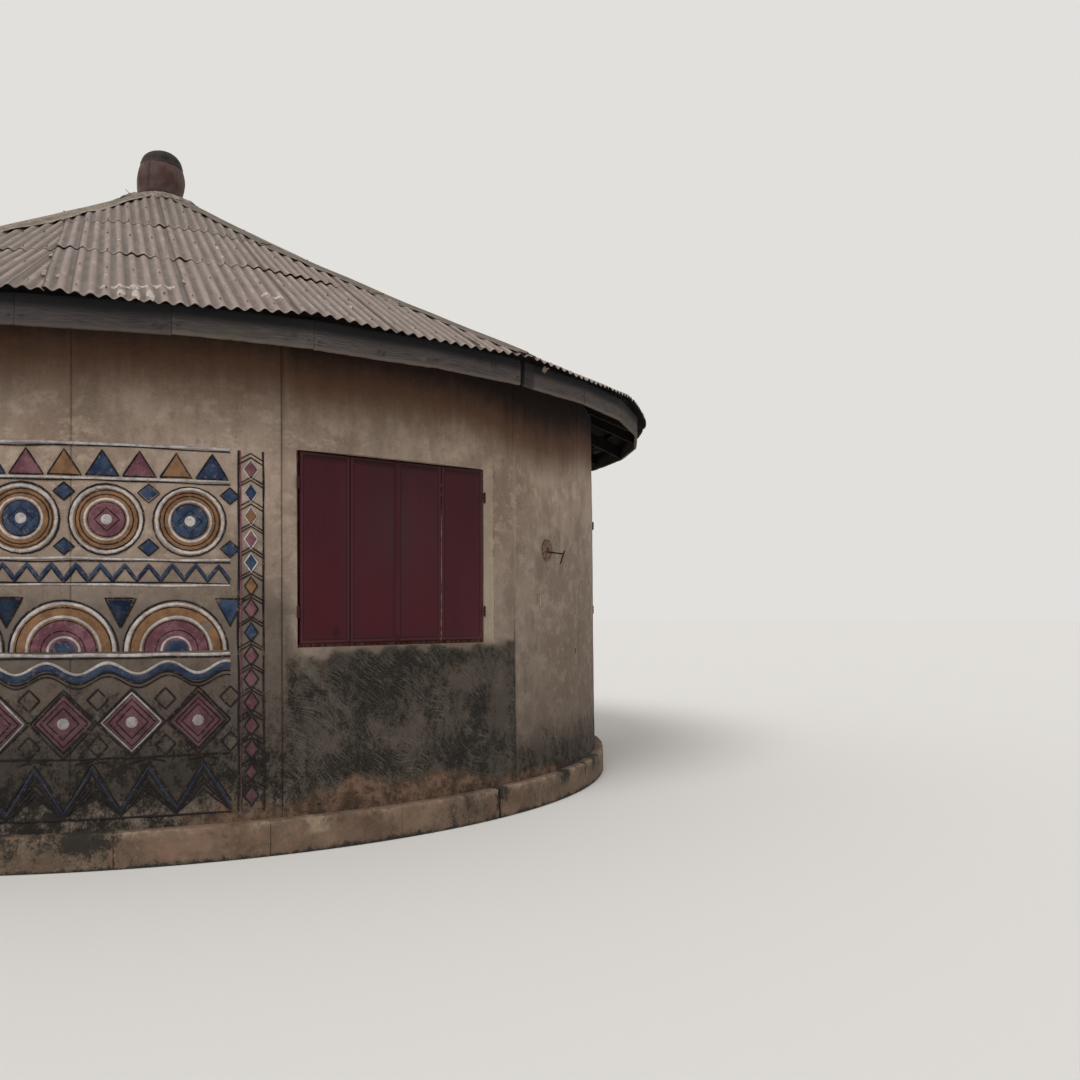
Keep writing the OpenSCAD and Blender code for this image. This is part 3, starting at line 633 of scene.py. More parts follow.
window_angles = []
for bay in range(1, 7):
    middle = first_bay_at + (bay - 0.5) * bay_span
    half = opening_span / 2
    cell = fine_cell if middle < fine_until else coarse_cell
    lines = bay_lines(half, cell, (-half, half))
    if bay == door_bay:
        jamb = jamb_angle(door_width)
        heights = steps([0, floor_top, door_head, wall_head], cell)
        left = steps([a for a in lines if a < -jamb - 0.1] + [-jamb], 9)
        wall_piece("doorway_left", "door_wall_left", middle, left, heights, None, jamb)
        wall_piece("doorway_right", "door_wall_right", middle, -left[::-1], heights, None, jamb)
        over_door = steps([-jamb, jamb], math.degrees(cell / wall_foot))
        heights = steps([door_head, wall_head], cell)
        wall_piece("doorway_head", "door_lintel", middle, over_door, heights, None, jamb)
        continue
    window_angles.append(middle + window_turn)
    number = len(window_angles)
    jamb = jamb_angle(window_width)
    turned = [a - window_turn for a in lines]
    lines = steps([a for a in turned if abs(abs(a) - jamb) > 0.12] + [-jamb, jamb], 9)
    heights = steps([0, window_sill, window_sill + window_height, wall_head], cell)
    hole = (np.searchsorted(lines, [-jamb - 1e-6, jamb - 1e-6]),
            np.searchsorted(heights, [window_sill - 1e-6, window_sill + window_height - 1e-6]))
    wall_piece(f"window_bay_{number}", f"window_wall_{number}", middle + window_turn, lines, heights, hole,
               jamb)

# Windows: four flat leaves of sheet steel to each, painted maroon, that fold in pairs on barrel hinges.
# They hang on a steel frame in the opening. A strip covers the middle gap, and worn edges have rusted.
leaf_count = 4
leaf_gap = 0.004
leaf_side = 0.018
leaf_foot = 0.022
leaf_thick = 0.026
leaf_border = 0.024
shutter_proud = 0.006
strip_width = 0.028
strip_thick = 0.004
barrel_radius = 0.009
barrel_length = 0.07
barrel_from_end = 0.2
frame_width = 0.03
frame_depth = 0.06
middle_of_window = wall_radius(window_sill + window_height / 2)
window_face = math.sqrt(middle_of_window ** 2 - window_width ** 2 / 4) + shutter_proud
leaf_width = (window_width - 2 * leaf_side - leaf_gap * (leaf_count - 1)) / leaf_count
leaf_height = window_height - leaf_foot - leaf_gap


def stood(angle, x, out, up):
    """Points from a distance to the right, out from the axis and up, turned to an angle."""
    turn = math.radians(angle)
    return spots(x * math.cos(turn) + out * math.sin(turn), x * math.sin(turn) - out * math.cos(turn), up)


def rod(start, end, radius, sides=14, ends=0.25, **marks):
    """A round rod between two points, its ends a little rounded."""
    way = (end - start) / np.linalg.norm(end - start)
    aside = np.cross(way, (0.3, 0.2, 1) if abs(way[2]) < 0.9 else (1, 0, 0))
    aside /= np.linalg.norm(aside)
    turn = np.linspace(0, 2 * math.pi, sides, endpoint=False)[:, None]
    ring = np.cos(turn) * aside + np.sin(turn) * np.cross(way, aside)
    trim = ends * radius
    return tube(np.stack([start + ring * (radius - trim), start + way * trim + ring * radius,
                          end - way * trim + ring * radius, end + ring * (radius - trim)]), **marks)


def window_leaf(angle, number):
    """One leaf, drawn from its foot on the left, with the marks that wear has left on it. Dark lines in its
    border crease, along its edges and across its top are painted shade, and a paler patch high in the middle
    is a painted sheen.
    """
    left = -window_width / 2 + leaf_side + number * (leaf_width + leaf_gap)
    lines = [0, 0.0015, 0.005, leaf_border - 0.005, leaf_border, leaf_border + 0.005]
    x = steps(lines + [leaf_width - line for line in lines], 0.022)[None, :]
    up = steps(lines + [leaf_height - line for line in (leaf_border, 0.012, 0.005, 0.0015, 0)],
               0.035)[:, None]
    from_edge = np.minimum(np.minimum(x, leaf_width - x), np.minimum(up, leaf_height - up))
    border_line = bulge(from_edge, leaf_border, 0.002)
    dent = uneven(spots(x + left, angle, up), 0.3, 21) * 0.0016 * ease(from_edge, leaf_border, 0.09)
    edge = -0.0022 * (1 - ease(from_edge, 0, 0.005))
    foot = window_sill + leaf_foot
    front = stood(angle, x + left, window_face + dent + -0.0016 * border_line + edge, up + foot)
    back = stood(angle, x + left, window_face - leaf_thick, up + foot)
    worn = 0.3 * (1 - ease(from_edge, 0.001, 0.006))
    if number == leaf_count - 1:
        worn = worn + (1 - ease(x, 0.0008, 0.003)) * (0.3 + 0.46 * between(up, 0.02, 0.06, 0.86, 0.92))
    if number == leaf_count - 2:
        worn = worn + 0.5 * (1 - ease(leaf_width - x, 0.001, 0.02)) * (1 - ease(up, 0.1, 0.3))
    # Painted shade: dark lines in the border crease, along the edges beside the gaps and across the top under
    # the head of the opening.
    line = bulge(from_edge, leaf_border, 0.003) + (1 - ease(from_edge, 0.0015, 0.005))
    return plate(front, back, worn=worn, foot=1 - ease(up, 0.0, 0.06),
                 line=np.maximum(line, 1.4 * ease(up, leaf_height - 0.014, leaf_height - 0.004)),
                 pale=ease(from_edge, leaf_border, leaf_border - 0.005) * ease(from_edge, 0.0015, 0.006),
                 # A dark spot low on the first leaf.
                 smudge=(number == 0) * bulge(x, 0.255, 0.016) * bulge(up, 0.07, 0.03),
                 red=(1 - ease(up, 0.1, 1.0)) * (1 - 0.25 * number) * ease(from_edge, 0, 0.1),
                 # A painted sheen: a paler, greyer patch high in the middle of the window.
                 sheen=bulge(up, 0.75, 0.35) * bulge(x + left, 0, 0.28))


def bar(angle, left, right, low, high, out, deep, cell=0.06, wear=0.6, **marks):
    """A flat steel bar with slightly worn arrises, between two heights."""
    x = steps([left, left + 0.0015, right - 0.0015, right], cell)[None, :]
    up = steps([low, low + 0.0015, high - 0.0015, high], cell)[:, None]
    from_edge = np.minimum(np.minimum(x - left, right - x), np.minimum(up - low, high - up))
    front = stood(angle, x, out - 0.001 * (1 - ease(from_edge, 0, 0.0016)), up)
    front = front + uneven(front, 0.2, 31)[..., None] * 0.0004 * (0.6, -0.6, 0)
    back = stood(angle, x, out - deep, up)
    return plate(front, back, worn=wear * (1 - ease(from_edge, 0, 0.004)), **marks)


def barrel(angle, x, low):
    """A hinge barrel of three knuckles on a pin."""
    def at(up):
        return stood(angle, x, window_face + 0.006, up)
    third = barrel_length / 3
    knuckles = [rod(at(low + k * third + 0.001), at(low + (k + 1) * third - 0.001), barrel_radius, worn=0.2)
                for k in range(3)]
    pin = rod(at(low - 0.006), at(low + barrel_length + 0.006), barrel_radius * 0.6, 10, 0.6, worn=0.2)
    return [*knuckles, pin]


maroon = Finish("maroon_paint", 0.6, specular=0.12)
brushed = maroon.lumps(0.012, 30)
cloudy = maroon.lumps(0.35, 2.2, 5.0)
bare = maroon.lumps(0.011, 3, 5.0, 0.7) + (maroon.mark("worn") * 0.42 + -0.42)
maroon.colour((64, 26, 32),
              (cloudy, (0.35, 0.66), (71, 30, 36)),
              (brushed, (0.4, 0.7), (76, 36, 42), 0.2),
              # Painted sheen, paler and greyer, high in the middle of each window.
              ("sheen", None, (66, 44, 48), 0.5),
              ("red", None, (74, 18, 24), 0.5),
              ("foot", None, (92, 60, 56), 0.2),
              ("pale", None, (84, 44, 48), 0.4),
              # Painted shade in the crease, along the edges and across the top.
              ("line", None, (24, 9, 11), 0.75),
              (bare, (0.34, 0.42), (124, 84, 72)),
              (bare, (0.44, 0.5), (158, 126, 106)),
              # A dark spot low on the first leaf.
              ("smudge", None, (20, 16, 16), 0.9))
feed(maroon.shader, {"Roughness": cloudy * 0.3 + 0.34})
maroon.dent(brushed * 0.3 + maroon.lumps(0.05, 1, 3.0), 0.0012, 0.6)

# Faded reddish-brown paint, made lighter than it is as painted light on frame bars that sit in shade behind
# the leaves.
faded_and_lit_frame_paint = Finish("faded_and_lit_frame_paint", 0.8, specular=0.12)
faded_and_lit_frame_paint.colour((92, 54, 50), ((0.03, 2, 5.0), (0.4, 0.62), (134, 92, 82)))
faded_and_lit_frame_paint.dent((0.01,), 0.001)

frames = []
for number, angle in enumerate(window_angles, 1):
    parts = [window_leaf(angle, k) for k in range(leaf_count)]
    low, high = window_sill + leaf_foot, window_sill + leaf_foot + leaf_height
    lap_x = -window_width / 2 + leaf_side + leaf_count // 2 * (leaf_width + leaf_gap)
    parts.append(bar(angle, lap_x - leaf_gap - strip_width / 2, lap_x + strip_width / 2, low, high,
                     window_face + strip_thick, strip_thick, wear=0.25))
    for x in (0.002 - window_width / 2, window_width / 2 - 0.002):
        for middle in (low + barrel_from_end, high - barrel_from_end):
            parts += barrel(angle, x, middle - barrel_length / 2)
    make(f"window_leaves_{number}", parts, maroon, [f"shutters_{number}"])
    half = window_width / 2 - hair_gap
    inner = half - frame_width
    top = window_sill + window_height - hair_gap
    for left, right, foot, head in ((-half, -inner, window_sill, top), (inner, half, window_sill, top),
                                    (-inner, inner, window_sill, window_sill + frame_width),
                                    (-inner, inner, top - frame_width, top)):
        frames.append(bar(angle, left, right, foot + hair_gap, head, window_face - leaf_thick - hair_gap,
                          frame_depth))
make("window_frame_bars", frames, faded_and_lit_frame_paint, ["window_frames"])

# Packing under the first window: two slips of fired brick and a chip of white tile.
# They were pressed into the bedding under its frame to level it.
packing = Finish("packing", 0.9)
packing.colour((156, 96, 72), ((0.03,), (0.4, 0.62), (190, 140, 112)), ("white", None, (222, 214, 198)))
packing.dent((0.008,), 0.001)
slip_places = ((-0.545, -0.2, -0.016, -0.001, 0), (-0.64, -0.56, -0.022, -0.004, 1),
               (-0.16, 0.02, -0.01, -0.001, 0))
slips = [bar(window_angles[0], left, right, window_sill + low, window_sill + high, window_face + 0.002, 0.02,
             0.03, white=white) for left, right, low, high, white in slip_places]
make("packing_under_window", slips, packing)

# Doorway frame: steel section round the doorway, built in with the wall.
# It is painted maroon like the windows' leaves.
dress(maroon, "door_frame")

# Roof timber: sawn softwood rafters, plate and purlins, notched and nailed together.
# It has gone brown-grey, and black with smoke where it is sheltered. It is coloured near black all over,
# partly as painted shade under the eaves.
timber = Finish("timber_in_painted_shade", 0.88)
feeds = {"Vector": timber.place, "Scale": 9.0, "Distortion": 7.0, "Detail": 3.0, "Detail Scale": 2.0}
rings = Value(node(timber.tree, "TexWave", feeds, bands_direction="Z"), "Fac")
# Near black all over: partly painted shade for the dark under the eaves.
timber.colour((20, 16, 14), (rings, None, (34, 28, 24)), ((0.4, 1, 6.0), (0.42, 0.66), (13, 11, 10)))
timber.dent(rings * 0.4 + timber.lumps(0.01), 0.002)
dress(timber, "wall_plate", "main_rafters", "jack_rafters", "purlins", "apex_block")

# Eaves boards: straight boards nailed end to end to the rafters, split and splintered along the foot.
# Years of rain have greyed them, and the strip under the sheets is painted almost black as painted shadow
# from the sheets.
board_count = 36
board_joint_at = 10.5
board_face = 4.558
board_thick = 0.025
board_height = 0.17
board_gap = 0.003
board_top = 3.1949
parted_at = 50.5
parted_gap = 0.044
nail_inset = 0.03
near_cell = 0.018
far_cell = 0.05
nail_shares = (0.3, 0.72)
big_knot = (0.278, 0.45)
board_lines = np.array([0, 0.012, 0.04, 0.09, 0.17, 0.27, 0.38, 0.5, 0.62, 0.74, 0.85, 0.94, 0.985,
                        1])[:, None]


def eaves_board(number):
    """One board with cupped faces, knots and torn lower fibres, and its nails."""
    start = board_joint_at + number * 360 / board_count
    middle = start + 180 / board_count
    seen = -40 < (middle + 180) % 360 - 180 < 100
    half = board_face * math.tan(math.radians(180 / board_count))
    left, right = (side * half - side * (parted_gap if abs(end - parted_at) < 1 else board_gap) / 2
                   for side, end in ((-1, start), (1, start + 360 / board_count)))
    x = steps([left, left + 0.002, right - 0.002, right], near_cell if seen else far_cell)[None, :]
    share = board_lines
    draw = np.random.default_rng(700 + number)
    low = board_top - board_height + draw.uniform(-0.004, 0.003)
    up = low + (board_top - low) * share + 0 * x
    spot = spots(x * 0.12, up, number * 3.0)
    along = spots(x, 0 * up, number * 7.0)
    torn = np.clip(uneven(along, 0.05, 41) + 0.6 * uneven(along, 0.012, 42), 0, 2) * 0.002
    up = up + torn * (1 - ease(share, 0.0, 0.05)) + 0.0012 * uneven(along, 0.5, 43)
    cup = 0.0016 * uneven(spot, 0.09, 44) + 0.0007 * uneven(spot, 0.012, 45)
    bow = -0.003 * (x / half) ** 2 * draw.uniform(0, 1) + draw.uniform(-0.0015, 0.0015)
    arris = -0.003 * (1 - ease(np.minimum(share, 1 - share), 0, 0.03))
    arris = arris - 0.0015 * (1 - ease(np.minimum(x - left, right - x), 0, 0.003))
    fray = -torn * 0.8 * (1 - ease(share, 0.0, 0.1))
    knot = 0
    knots = [big_knot] if number == 1 else [(draw.uniform(left, right), draw.uniform(0.2, 0.7))
                                            for _ in range(draw.integers(0, 3))]
    for knot_x, knot_share in knots:
        far = np.hypot(x - knot_x, (share - knot_share) * board_height * 1.15)
        knot = np.maximum(knot, bulge(far, 0.02, 0.006) + 0.6 * bulge(far, 0, 0.008))
    nails = [(nail_x, at) for nail_x in (left + nail_inset, right - nail_inset) for at in nail_shares]
    stain = np.maximum.reduce([bulge(x, nail_x, 0.01) * bulge(np.minimum(share - at, 0), 0, 0.13)
                               * bulge(np.maximum(share - at, 0), 0, 0.04) for nail_x, at in nails])
    front = stood(middle, x, board_face + cup + bow + arris + fray - 0.002, up)
    back = stood(middle, x, board_face - board_thick, up)
    parts = [plate(front, back, share=share, stain=stain, knot=knot, board=number, x=x,
                   red=(number == 4) * (1 - ease(x - left, 0.09, 0.13)),
                   dull=(number in (34, 35, 0)) + 0.7 * (5 < number < 10))]
    for nail_x, at in nails:
        ends = [stood(middle, nail_x, board_face + out, low + at * board_height) for out in (-0.006, 0.0012)]
        parts.append(rod(*ends, 0.0042, 8, 0.4, stain=1, share=at))
    return parts


boards = Finish("grey_board_wood", 0.85)
share = boards.mark("share")
fibre = noise(spot_of(boards.mark("x") * 1.4, share * 9.0, boards.mark("board")), 9.0, 0.66, 5.0, 0.4)
boards.colour((48, 45, 46),
              (fibre, (0.34, 0.66), (100, 92, 88)),
              ((0.22, 0.6, 5.0), (0.45, 0.7), (84, 76, 68), 0.5),
              (fibre * 0.3 + share, (0.3, 0.14), (110, 96, 86), 0.8),
              # Painted shadow of the sheets: the top of each board near black.
              (fibre * 0.2 + share, (0.52, 0.86), (18, 19, 24), 0.9),
              ("knot", None, (34, 28, 24), 0.75),
              ("stain", None, (44, 34, 28), 0.8),
              ("red", None, (30, 26, 27), 0.7),
              ("dull", None, (34, 33, 36), 0.4))
boards.dent(fibre, 0.004, 0.9)
make("eaves_boards", [part for n in range(board_count) for part in eaves_board(n)], boards,
     ["fascia_boards"], 45)

# Roof sheets: corrugated steel in three lapped rows, cut to the round eaves and to six straight hips.
# Most sheets of a run lie along one line. Left of a seam, a few odd ones lie along another.
facet_span = 20
facet_fold_at = 10.5
row_outer = (4.640, 3.170, 1.760)
row_inner = (3.040, 1.630, 0.290)
row_slope = (0.468, 0.486, 0.53)
row_foot = (3.165, 3.8577, 4.5477)
row_lift = 0.0047
run_span = 60
run_middle = 20.5
main_lay = 1.5
odd_lay = -5.5
seam_at = -0.775
sheet_cover = 0.608
sheet_from = -0.03
side_lap = 0.114
pitch = 0.076
wave = 0.018
metal = 0.002
upright = 1.1
waves_at = 9
row_lines = ((4.43, 3.77, 3.105), (3.105, 2.40, 1.695), (1.695, 1.025, 0.355))
prised_up = {0: (), 1: ((-0.84, 0.2, 1.0), (0.02, 0.05, 1.2), (0.73, 0.13, 1.0)), 2: ((-0.05, 0.05, 1.0),)}
short_lines = (0, 0.3, 0.5, 0.65, 0.78, 0.88, 0.95, 0.985, 1)
long_lines = (0, 0.12, 0.24, 0.36, 0.48, 0.6, 0.7, 0.8, 0.88, 0.94, 0.975, 0.99, 1)


def on_roof(row, line, across, down, lift):
    """Points over the plane under a row of sheets, and how far down it they are. Past its lap a long
    sheet follows the row below."""
    points = stood(line, across, down, 0.0)
    x, y = points[..., 0], points[..., 1]
    off = (np.degrees(np.arctan2(x, -y)) - facet_fold_at) % facet_span - facet_span / 2
    fall = np.hypot(x, y) * np.cos(np.radians(off))
    height = row_foot[row] + row_slope[row] * (row_outer[row] - fall)
    if row:
        below = row_foot[row - 1] + row_slope[row - 1] * (row_outer[row - 1] - fall)
        height = np.maximum(height, below + row_lift)
    points[..., 2] = height + lift * upright
    return points, fall


def ripple(across):
    return wave / 2 * (1 + np.cos(2 * math.pi * across / pitch))


def torn(across, place, seed, amount):
    """How far the end of a sheet is eaten away, in metres."""
    spot = spots(across, place, 0.0)
    return amount * np.clip(uneven(spot, 0.05, seed) + 0.7 * uneven(spot, 0.016, seed + 1) - 0.2, 0, 2)


def sheet(run, row, line, left, right, reach, from_left, long=0.0):
    """One sheet: columns of points a part of a corrugation apart, from its upper end to its lower."""
    across = np.linspace(left, right, max(3, round((right - left) / pitch * waves_at) + 1))
    top, foot = reach(across)
    keep = foot - top > 0.004
    if keep.sum() < 3:
        return []
    across, top, foot = across[keep], top[keep], foot[keep] + long
    end = torn(across, run * 5 + row, 50 + row, 0.006 if row == 0 else 0.009)
    foot = np.maximum(foot - end, top + 0.003)
    share = np.array(long_lines if foot.max() - top.min() > 1.2 else short_lines)[:, None]
    down = top + (foot - top) * share
    spot = spots(across, down, run * 9 + row * 4)
    over = from_left * (1 - ease(across - left, side_lap - 0.02, side_lap + 0.05)) * 0.0028
    sag = 0.0022 * (1 + uneven(spot, 0.8, 61)) * ease(down - top, 0, 0.2) + 0.0012 * uneven(spot, 0.14, 63)
    curl = np.clip(uneven(spot, 0.22, 62) - 0.15, 0, 1.2) * 0.011 * ease(share, 0.88, 1.0) * (row > 0)
    if run == 1:
        prised = sum(much * bulge(across, at, wide) for at, wide, much in prised_up[row])
        curl = curl + 0.016 * prised * ease(share, 0.84, 1.0) * (0.7 + 0.3 * uneven(spot, 0.08, 64))
    lift = over + curl + np.clip(sag, 0, 1) * (row == 0) + 0.0012 + ripple(across)
    upper, fall = on_roof(row, line, across, down, lift + metal)
    # The lap mark is painted shade: a dark band along the edge of a sheet that laps over the one beside it.
    part = plate(upper, on_roof(row, line, across, down, lift)[0], across=across, down=fall,
                 crest=ripple(across) / wave, lap=over * 350 * bulge(across, left, 0.01), row=row, run=run,
                 foot=ease(share, 0.93, 1.0), tint=(left * 7.13 + run * 0.37 + row * 0.61) % 1)
    # The under mark paints the underside near black, as painted shade under the sheets.
    part[2]["under"] = np.repeat([0.0, 1.0], down.size)
    return [part]


def hip_reach(row, left_angle, right_angle, seam=None):
    """Where the sheets start and end down a line, between a hip on the left and one on the right."""
    def reach(across):
        top = np.sqrt(np.clip(row_inner[row] ** 2 - across ** 2, 0, None))
        hip = [side * across / math.tan(math.radians(angle))
               for side, angle in ((-1, left_angle), (1, right_angle))]
        top = np.maximum(top, np.where(across < 0, *hip) + 0.004)
        if seam is not None:
            swing = math.radians(main_lay - odd_lay)
            top = np.maximum(top, (across * math.cos(swing) - seam) / math.sin(swing))
        return top, np.sqrt(np.clip(row_outer[row] ** 2 - across ** 2, 0, None))
    return reach


def roof_run(run):
    """The sheets of one run, row by row, the odd ones after the others."""
    parts = []
    half = run_span / 2
    middle = run_middle + (run - 1) * run_span
    for row in range(3):
        reach = hip_reach(row, half + main_lay, half - main_lay)
        limit = row_outer[row]
        start = seam_at if row < 2 else sheet_from - 3 * sheet_cover
        edges = [sheet_from + k * sheet_cover for k in range(-3, 6)]
        edges = [start] + [edge for edge in edges if edge > start + 0.1]
        for left, after in zip(edges, [*edges[1:], edges[-1] + sheet_cover]):
            if left < limit:
                parts += sheet(run, row, middle + main_lay, left, min(after + side_lap, limit), reach,
                               1.0 if left > start else 1.9)
        if row < 2:
            reach = hip_reach(row, half + odd_lay, half - odd_lay, seam_at + 0.02)
            for k in range(4):
                left = -2.2 + k * sheet_cover
                parts += sheet(run, row, middle + odd_lay, left, left + sheet_cover + side_lap, reach, 1.0,
                               0.03 if row else 0.0)
    return parts


sheets = Finish("weathered_sheet", 0.62, specular=0.35)
across_at, down_at, crest, run_at = (sheets.mark(name) for name in ("across", "down", "crest", "run"))
run_off = noise(spot_of(across_at * 26.0, down_at * 1.6, run_at * 5.0), 6.0, 0.62)
bleach = noise(spot_of(across_at * 13.0, down_at * 4.0, run_at * 3.0), 7.0, 0.7)
small = sheets.lumps(0.035, 1, 5.0, 0.7)
rust = 0.0
for nail_line in sorted({line for lines in row_lines for line in lines}):
    below = down_at + -nail_line
    rust = (below.fade(0.1, 0.0) * below.fade(-0.012, -0.002)).maths("MAXIMUM", rust)
rust = rust * across_at.maths("PINGPONG", pitch).fade(0.011, 0.003)
sheets.colour((100, 87, 81),
              # Crests lighter than valleys: partly dirt in the valleys, partly painted highlight on the
              # crests and painted shade in the valleys.
              (crest, (0.05, 0.95), (156, 138, 128)),
              ((0.45, 1, 7.0, 0.68), (0.36, 0.62), (132, 112, 105), 0.55),
              (run_off, (0.48, 0.7), (92, 78, 71), 0.6),
              ("tint", None, (118, 110, 102), 0.3),
              (crest.fade(0.45, 0.9) * bleach.fade(0.5, 0.66), None, (192, 174, 160), 0.5),
              (crest.fade(0.6, 0.1) * bleach.fade(0.56, 0.4), None, (72, 61, 55), 0.5),
              (small, (0.56, 0.72), (170, 156, 142), 0.3),
              ("row", (0.8, 2.0), (104, 94, 86), 0.35),
              (sheets.mark("foot") * small.fade(0.4, 0.6), None, (172, 154, 141), 0.55),
              (rust, None, (96, 62, 46), 0.7),
              # Painted shade along the lapping edge of each sheet.
              ("lap", None, (72, 60, 54)),
              # Painted shade: the undersides of the sheets near black.
              ("under", None, (22, 18, 16)))
sheets.dent(small, 0.0015, 0.5)
for run in range(1, 7):
    make(f"roof_sheets_{run}", roof_run(run), sheets, [f"roof_run_{run}"], 50)

# Roofing nails: a domed washer on every second crest over each purlin.
# Each was driven through the sheets into the timber, and has rusted through its zinc.
nail_radius = 0.0062
nail_rise = 0.004
nail_sides = 6
nail_columns = 31
nail_from_hip = 6.4
nail_finish = Finish("rusty_nails", 0.7, 0.4)
nail_finish.colour((70, 56, 48), ((0.004,), (0.4, 0.6), (112, 90, 76)))


def on_sheet(row, line, across, down, lift):
    """Points lifted off the underside of a row's sheets."""
    return on_roof(row, line, across, down, lift + ripple(across))[0]


def nail(point):
    """A flat washer with a domed head on it."""
    turn = np.linspace(0, 2 * math.pi, nail_sides, endpoint=False)
    size = nail_radius * np.array([1, 1, 0.55, 0.25])[:, None]
    lift = np.array([-0.003, 0.002, 0.003, 0.003 + nail_rise])[:, None]
    return tube(point + spots(size * np.cos(turn), size * np.sin(turn), lift))


def run_nails(run, row, nail_line, lay):
    """The nails of one run along one purlin, in the sheets that lie along one line."""
    swing = math.radians(main_lay - lay)
    for k in range(-nail_columns, nail_columns):
        across = 2 * pitch * k
        if lay == main_lay and row < 2 and across < seam_at + 0.02:
            continue
        for facet in (-facet_span, 0, facet_span):
            skew = math.radians(facet - lay)
            down = (nail_line - across * math.sin(skew)) / math.cos(skew)
            at = lay + math.degrees(math.atan2(across, down))
            inside = abs(at - facet) <= facet_span / 2 and abs(at) < run_span / 2 - nail_from_hip / nail_line
            beside_seam = across * math.cos(swing) - down * math.sin(swing) < seam_at - 0.02
            if inside and (lay == main_lay or beside_seam):
                middle = run_middle + (run - 1) * run_span
                yield nail(on_sheet(row, middle + lay, across, down, 0.005))


nails = [part for run in range(1, 7) for row in range(3) for nail_line in row_lines[row][:2]
         for lay in ((main_lay, odd_lay) if row < 2 else (main_lay,))
         for part in run_nails(run, row, nail_line, lay)]
make("roofing_nails", nails, nail_finish)

# Lichen and old mastic on the sheets: thin pale crusts that have grown or were smeared on the crests.
# Most of them are above the front eaves.
front_line = run_middle + main_lay
eaves_crusts = ((-0.487, 4.37), (-0.411, 4.32), (-0.342, 4.28), (-0.274, 4.24), (-0.201, 4.19),
                (-0.128, 4.18), (0.428, 4.15), (0.49, 4.19))
long_crusts = ((-0.38, 4.45, 4.60), (-0.304, 4.42, 4.62), (-0.228, 4.40, 4.63), (-0.3, 4.32, 4.38))
small_crusts = 70
crust_finish = Finish("pale_crust", 0.95)
crust_finish.colour((158, 140, 128), ((0.012, 1, 5.0), (0.38, 0.62), (208, 198, 188)))
crust_finish.dent((0.004,), 0.001)


def crust(row, line, across, down, wide, tall, arch, seed, lift=0.011):
    """A crust lying on the sheets, arched like a crescent, with an uneven outline."""
    u = np.linspace(-1, 1, 11)[None, :]
    v = np.linspace(-1, 1, 5)[:, None]
    thick = np.sqrt(np.clip(1 - u ** 2, 0.02, 1)) * (1 + 0.35 * uneven(spots(u * 2, v, seed), 1.2, 71))
    x = across + u * wide / 2
    s = down + arch * u ** 2 + v * tall / 2 * thick
    return plate(on_sheet(row, line, x, s, lift + 0.0012 * (1 - u ** 2) * (1 - v ** 2)),
                 on_sheet(row, line, x, s, 0.001))


crusts = [crust(0, front_line, across + 0.01, down, 0.068 if k else 0.03, 0.044, 0.04, k)
          for k, (across, down) in enumerate(eaves_crusts)]
crusts += [crust(0, front_line, across, (low + high) / 2, 0.046, high - low, 0.0, 20 + k)
           for k, (across, low, high) in enumerate(long_crusts)]
crusts += [crust(0, front_line, across, down, 0.03, 0.05, 0.0, 40 + k)
           for k, (across, down) in enumerate(((0.852, 4.0), (1.027, 3.85)))]
draw = np.random.default_rng(9)
for k in range(small_crusts):
    run_line = front_line + run_span * draw.integers(0, 6)
    row = int(draw.integers(0, 2))
    across = pitch * draw.integers(-8, 16)
    low = math.hypot(row_inner[row] + 0.2, across) + abs(across) * 1.2
    if low < row_outer[row] - 0.1:
        down = draw.uniform(low, row_outer[row] - 0.1)
        if abs(math.degrees(math.atan2(across, down))) < 26:
            size = draw.uniform(0.012, 0.03), draw.uniform(0.02, 0.09)
            crusts.append(crust(row, run_line, across, down, *size, 0.0, 50 + k, 0.0075))
make("crusts_on_the_sheets", crusts, crust_finish)

# Torn flashing: scraps of thin sheet that were tucked in the seam where the odd sheets meet the others.
# A few lie over a lap, and one hangs as a flap from the eaves.
front_scraps = ((0, -0.72, -0.67, 4.25, 4.17, 3, 0.006), (0, -0.03, 0.0, 4.05, 3.95, 4, 0.004),
                (0, 1.80, 1.82, 4.2, 3.95, 5, 0.004), (1, -0.02, 0.01, 1.98, 1.92, 6, 0.004))
flap_at = 53.0
flap_up = 3.176
flap_reach = 4.622
flap_wide = 0.07
scrap_thick = 0.0015
scrap_finish = Finish("torn_scraps", 0.75, 0.1)
scrap_finish.colour((116, 100, 90),
                    ((0.02, 1, 6.0), (0.36, 0.6), (176, 158, 142)),
                    ("brown", None, (92, 74, 56), 0.6))
scrap_finish.dent((0.008,), 0.001)


def scrap(row, line, left, right, low, high, seed, rise):
    """A bent scrap with torn edges, held off the sheets."""
    u = np.linspace(0, 1, 9)[None, :]
    v = np.linspace(0, 1, 11)[:, None]
    wide, long, bent = (uneven(spots(u * 3, v * 4, seed), size, key)
                        for size, key in ((0.9, 81), (0.5, 82), (1.4, 83)))
    x = left + (right - left) * (u + 0.16 * wide * (u - 0.5))
    s = high + (low - high) * (v + 0.05 * long)
    points = on_roof(row, line, x, s, wave + metal + (rise + 0.4 * rise * bent))[0]
    return plate(points, points - (0, 0, scrap_thick))


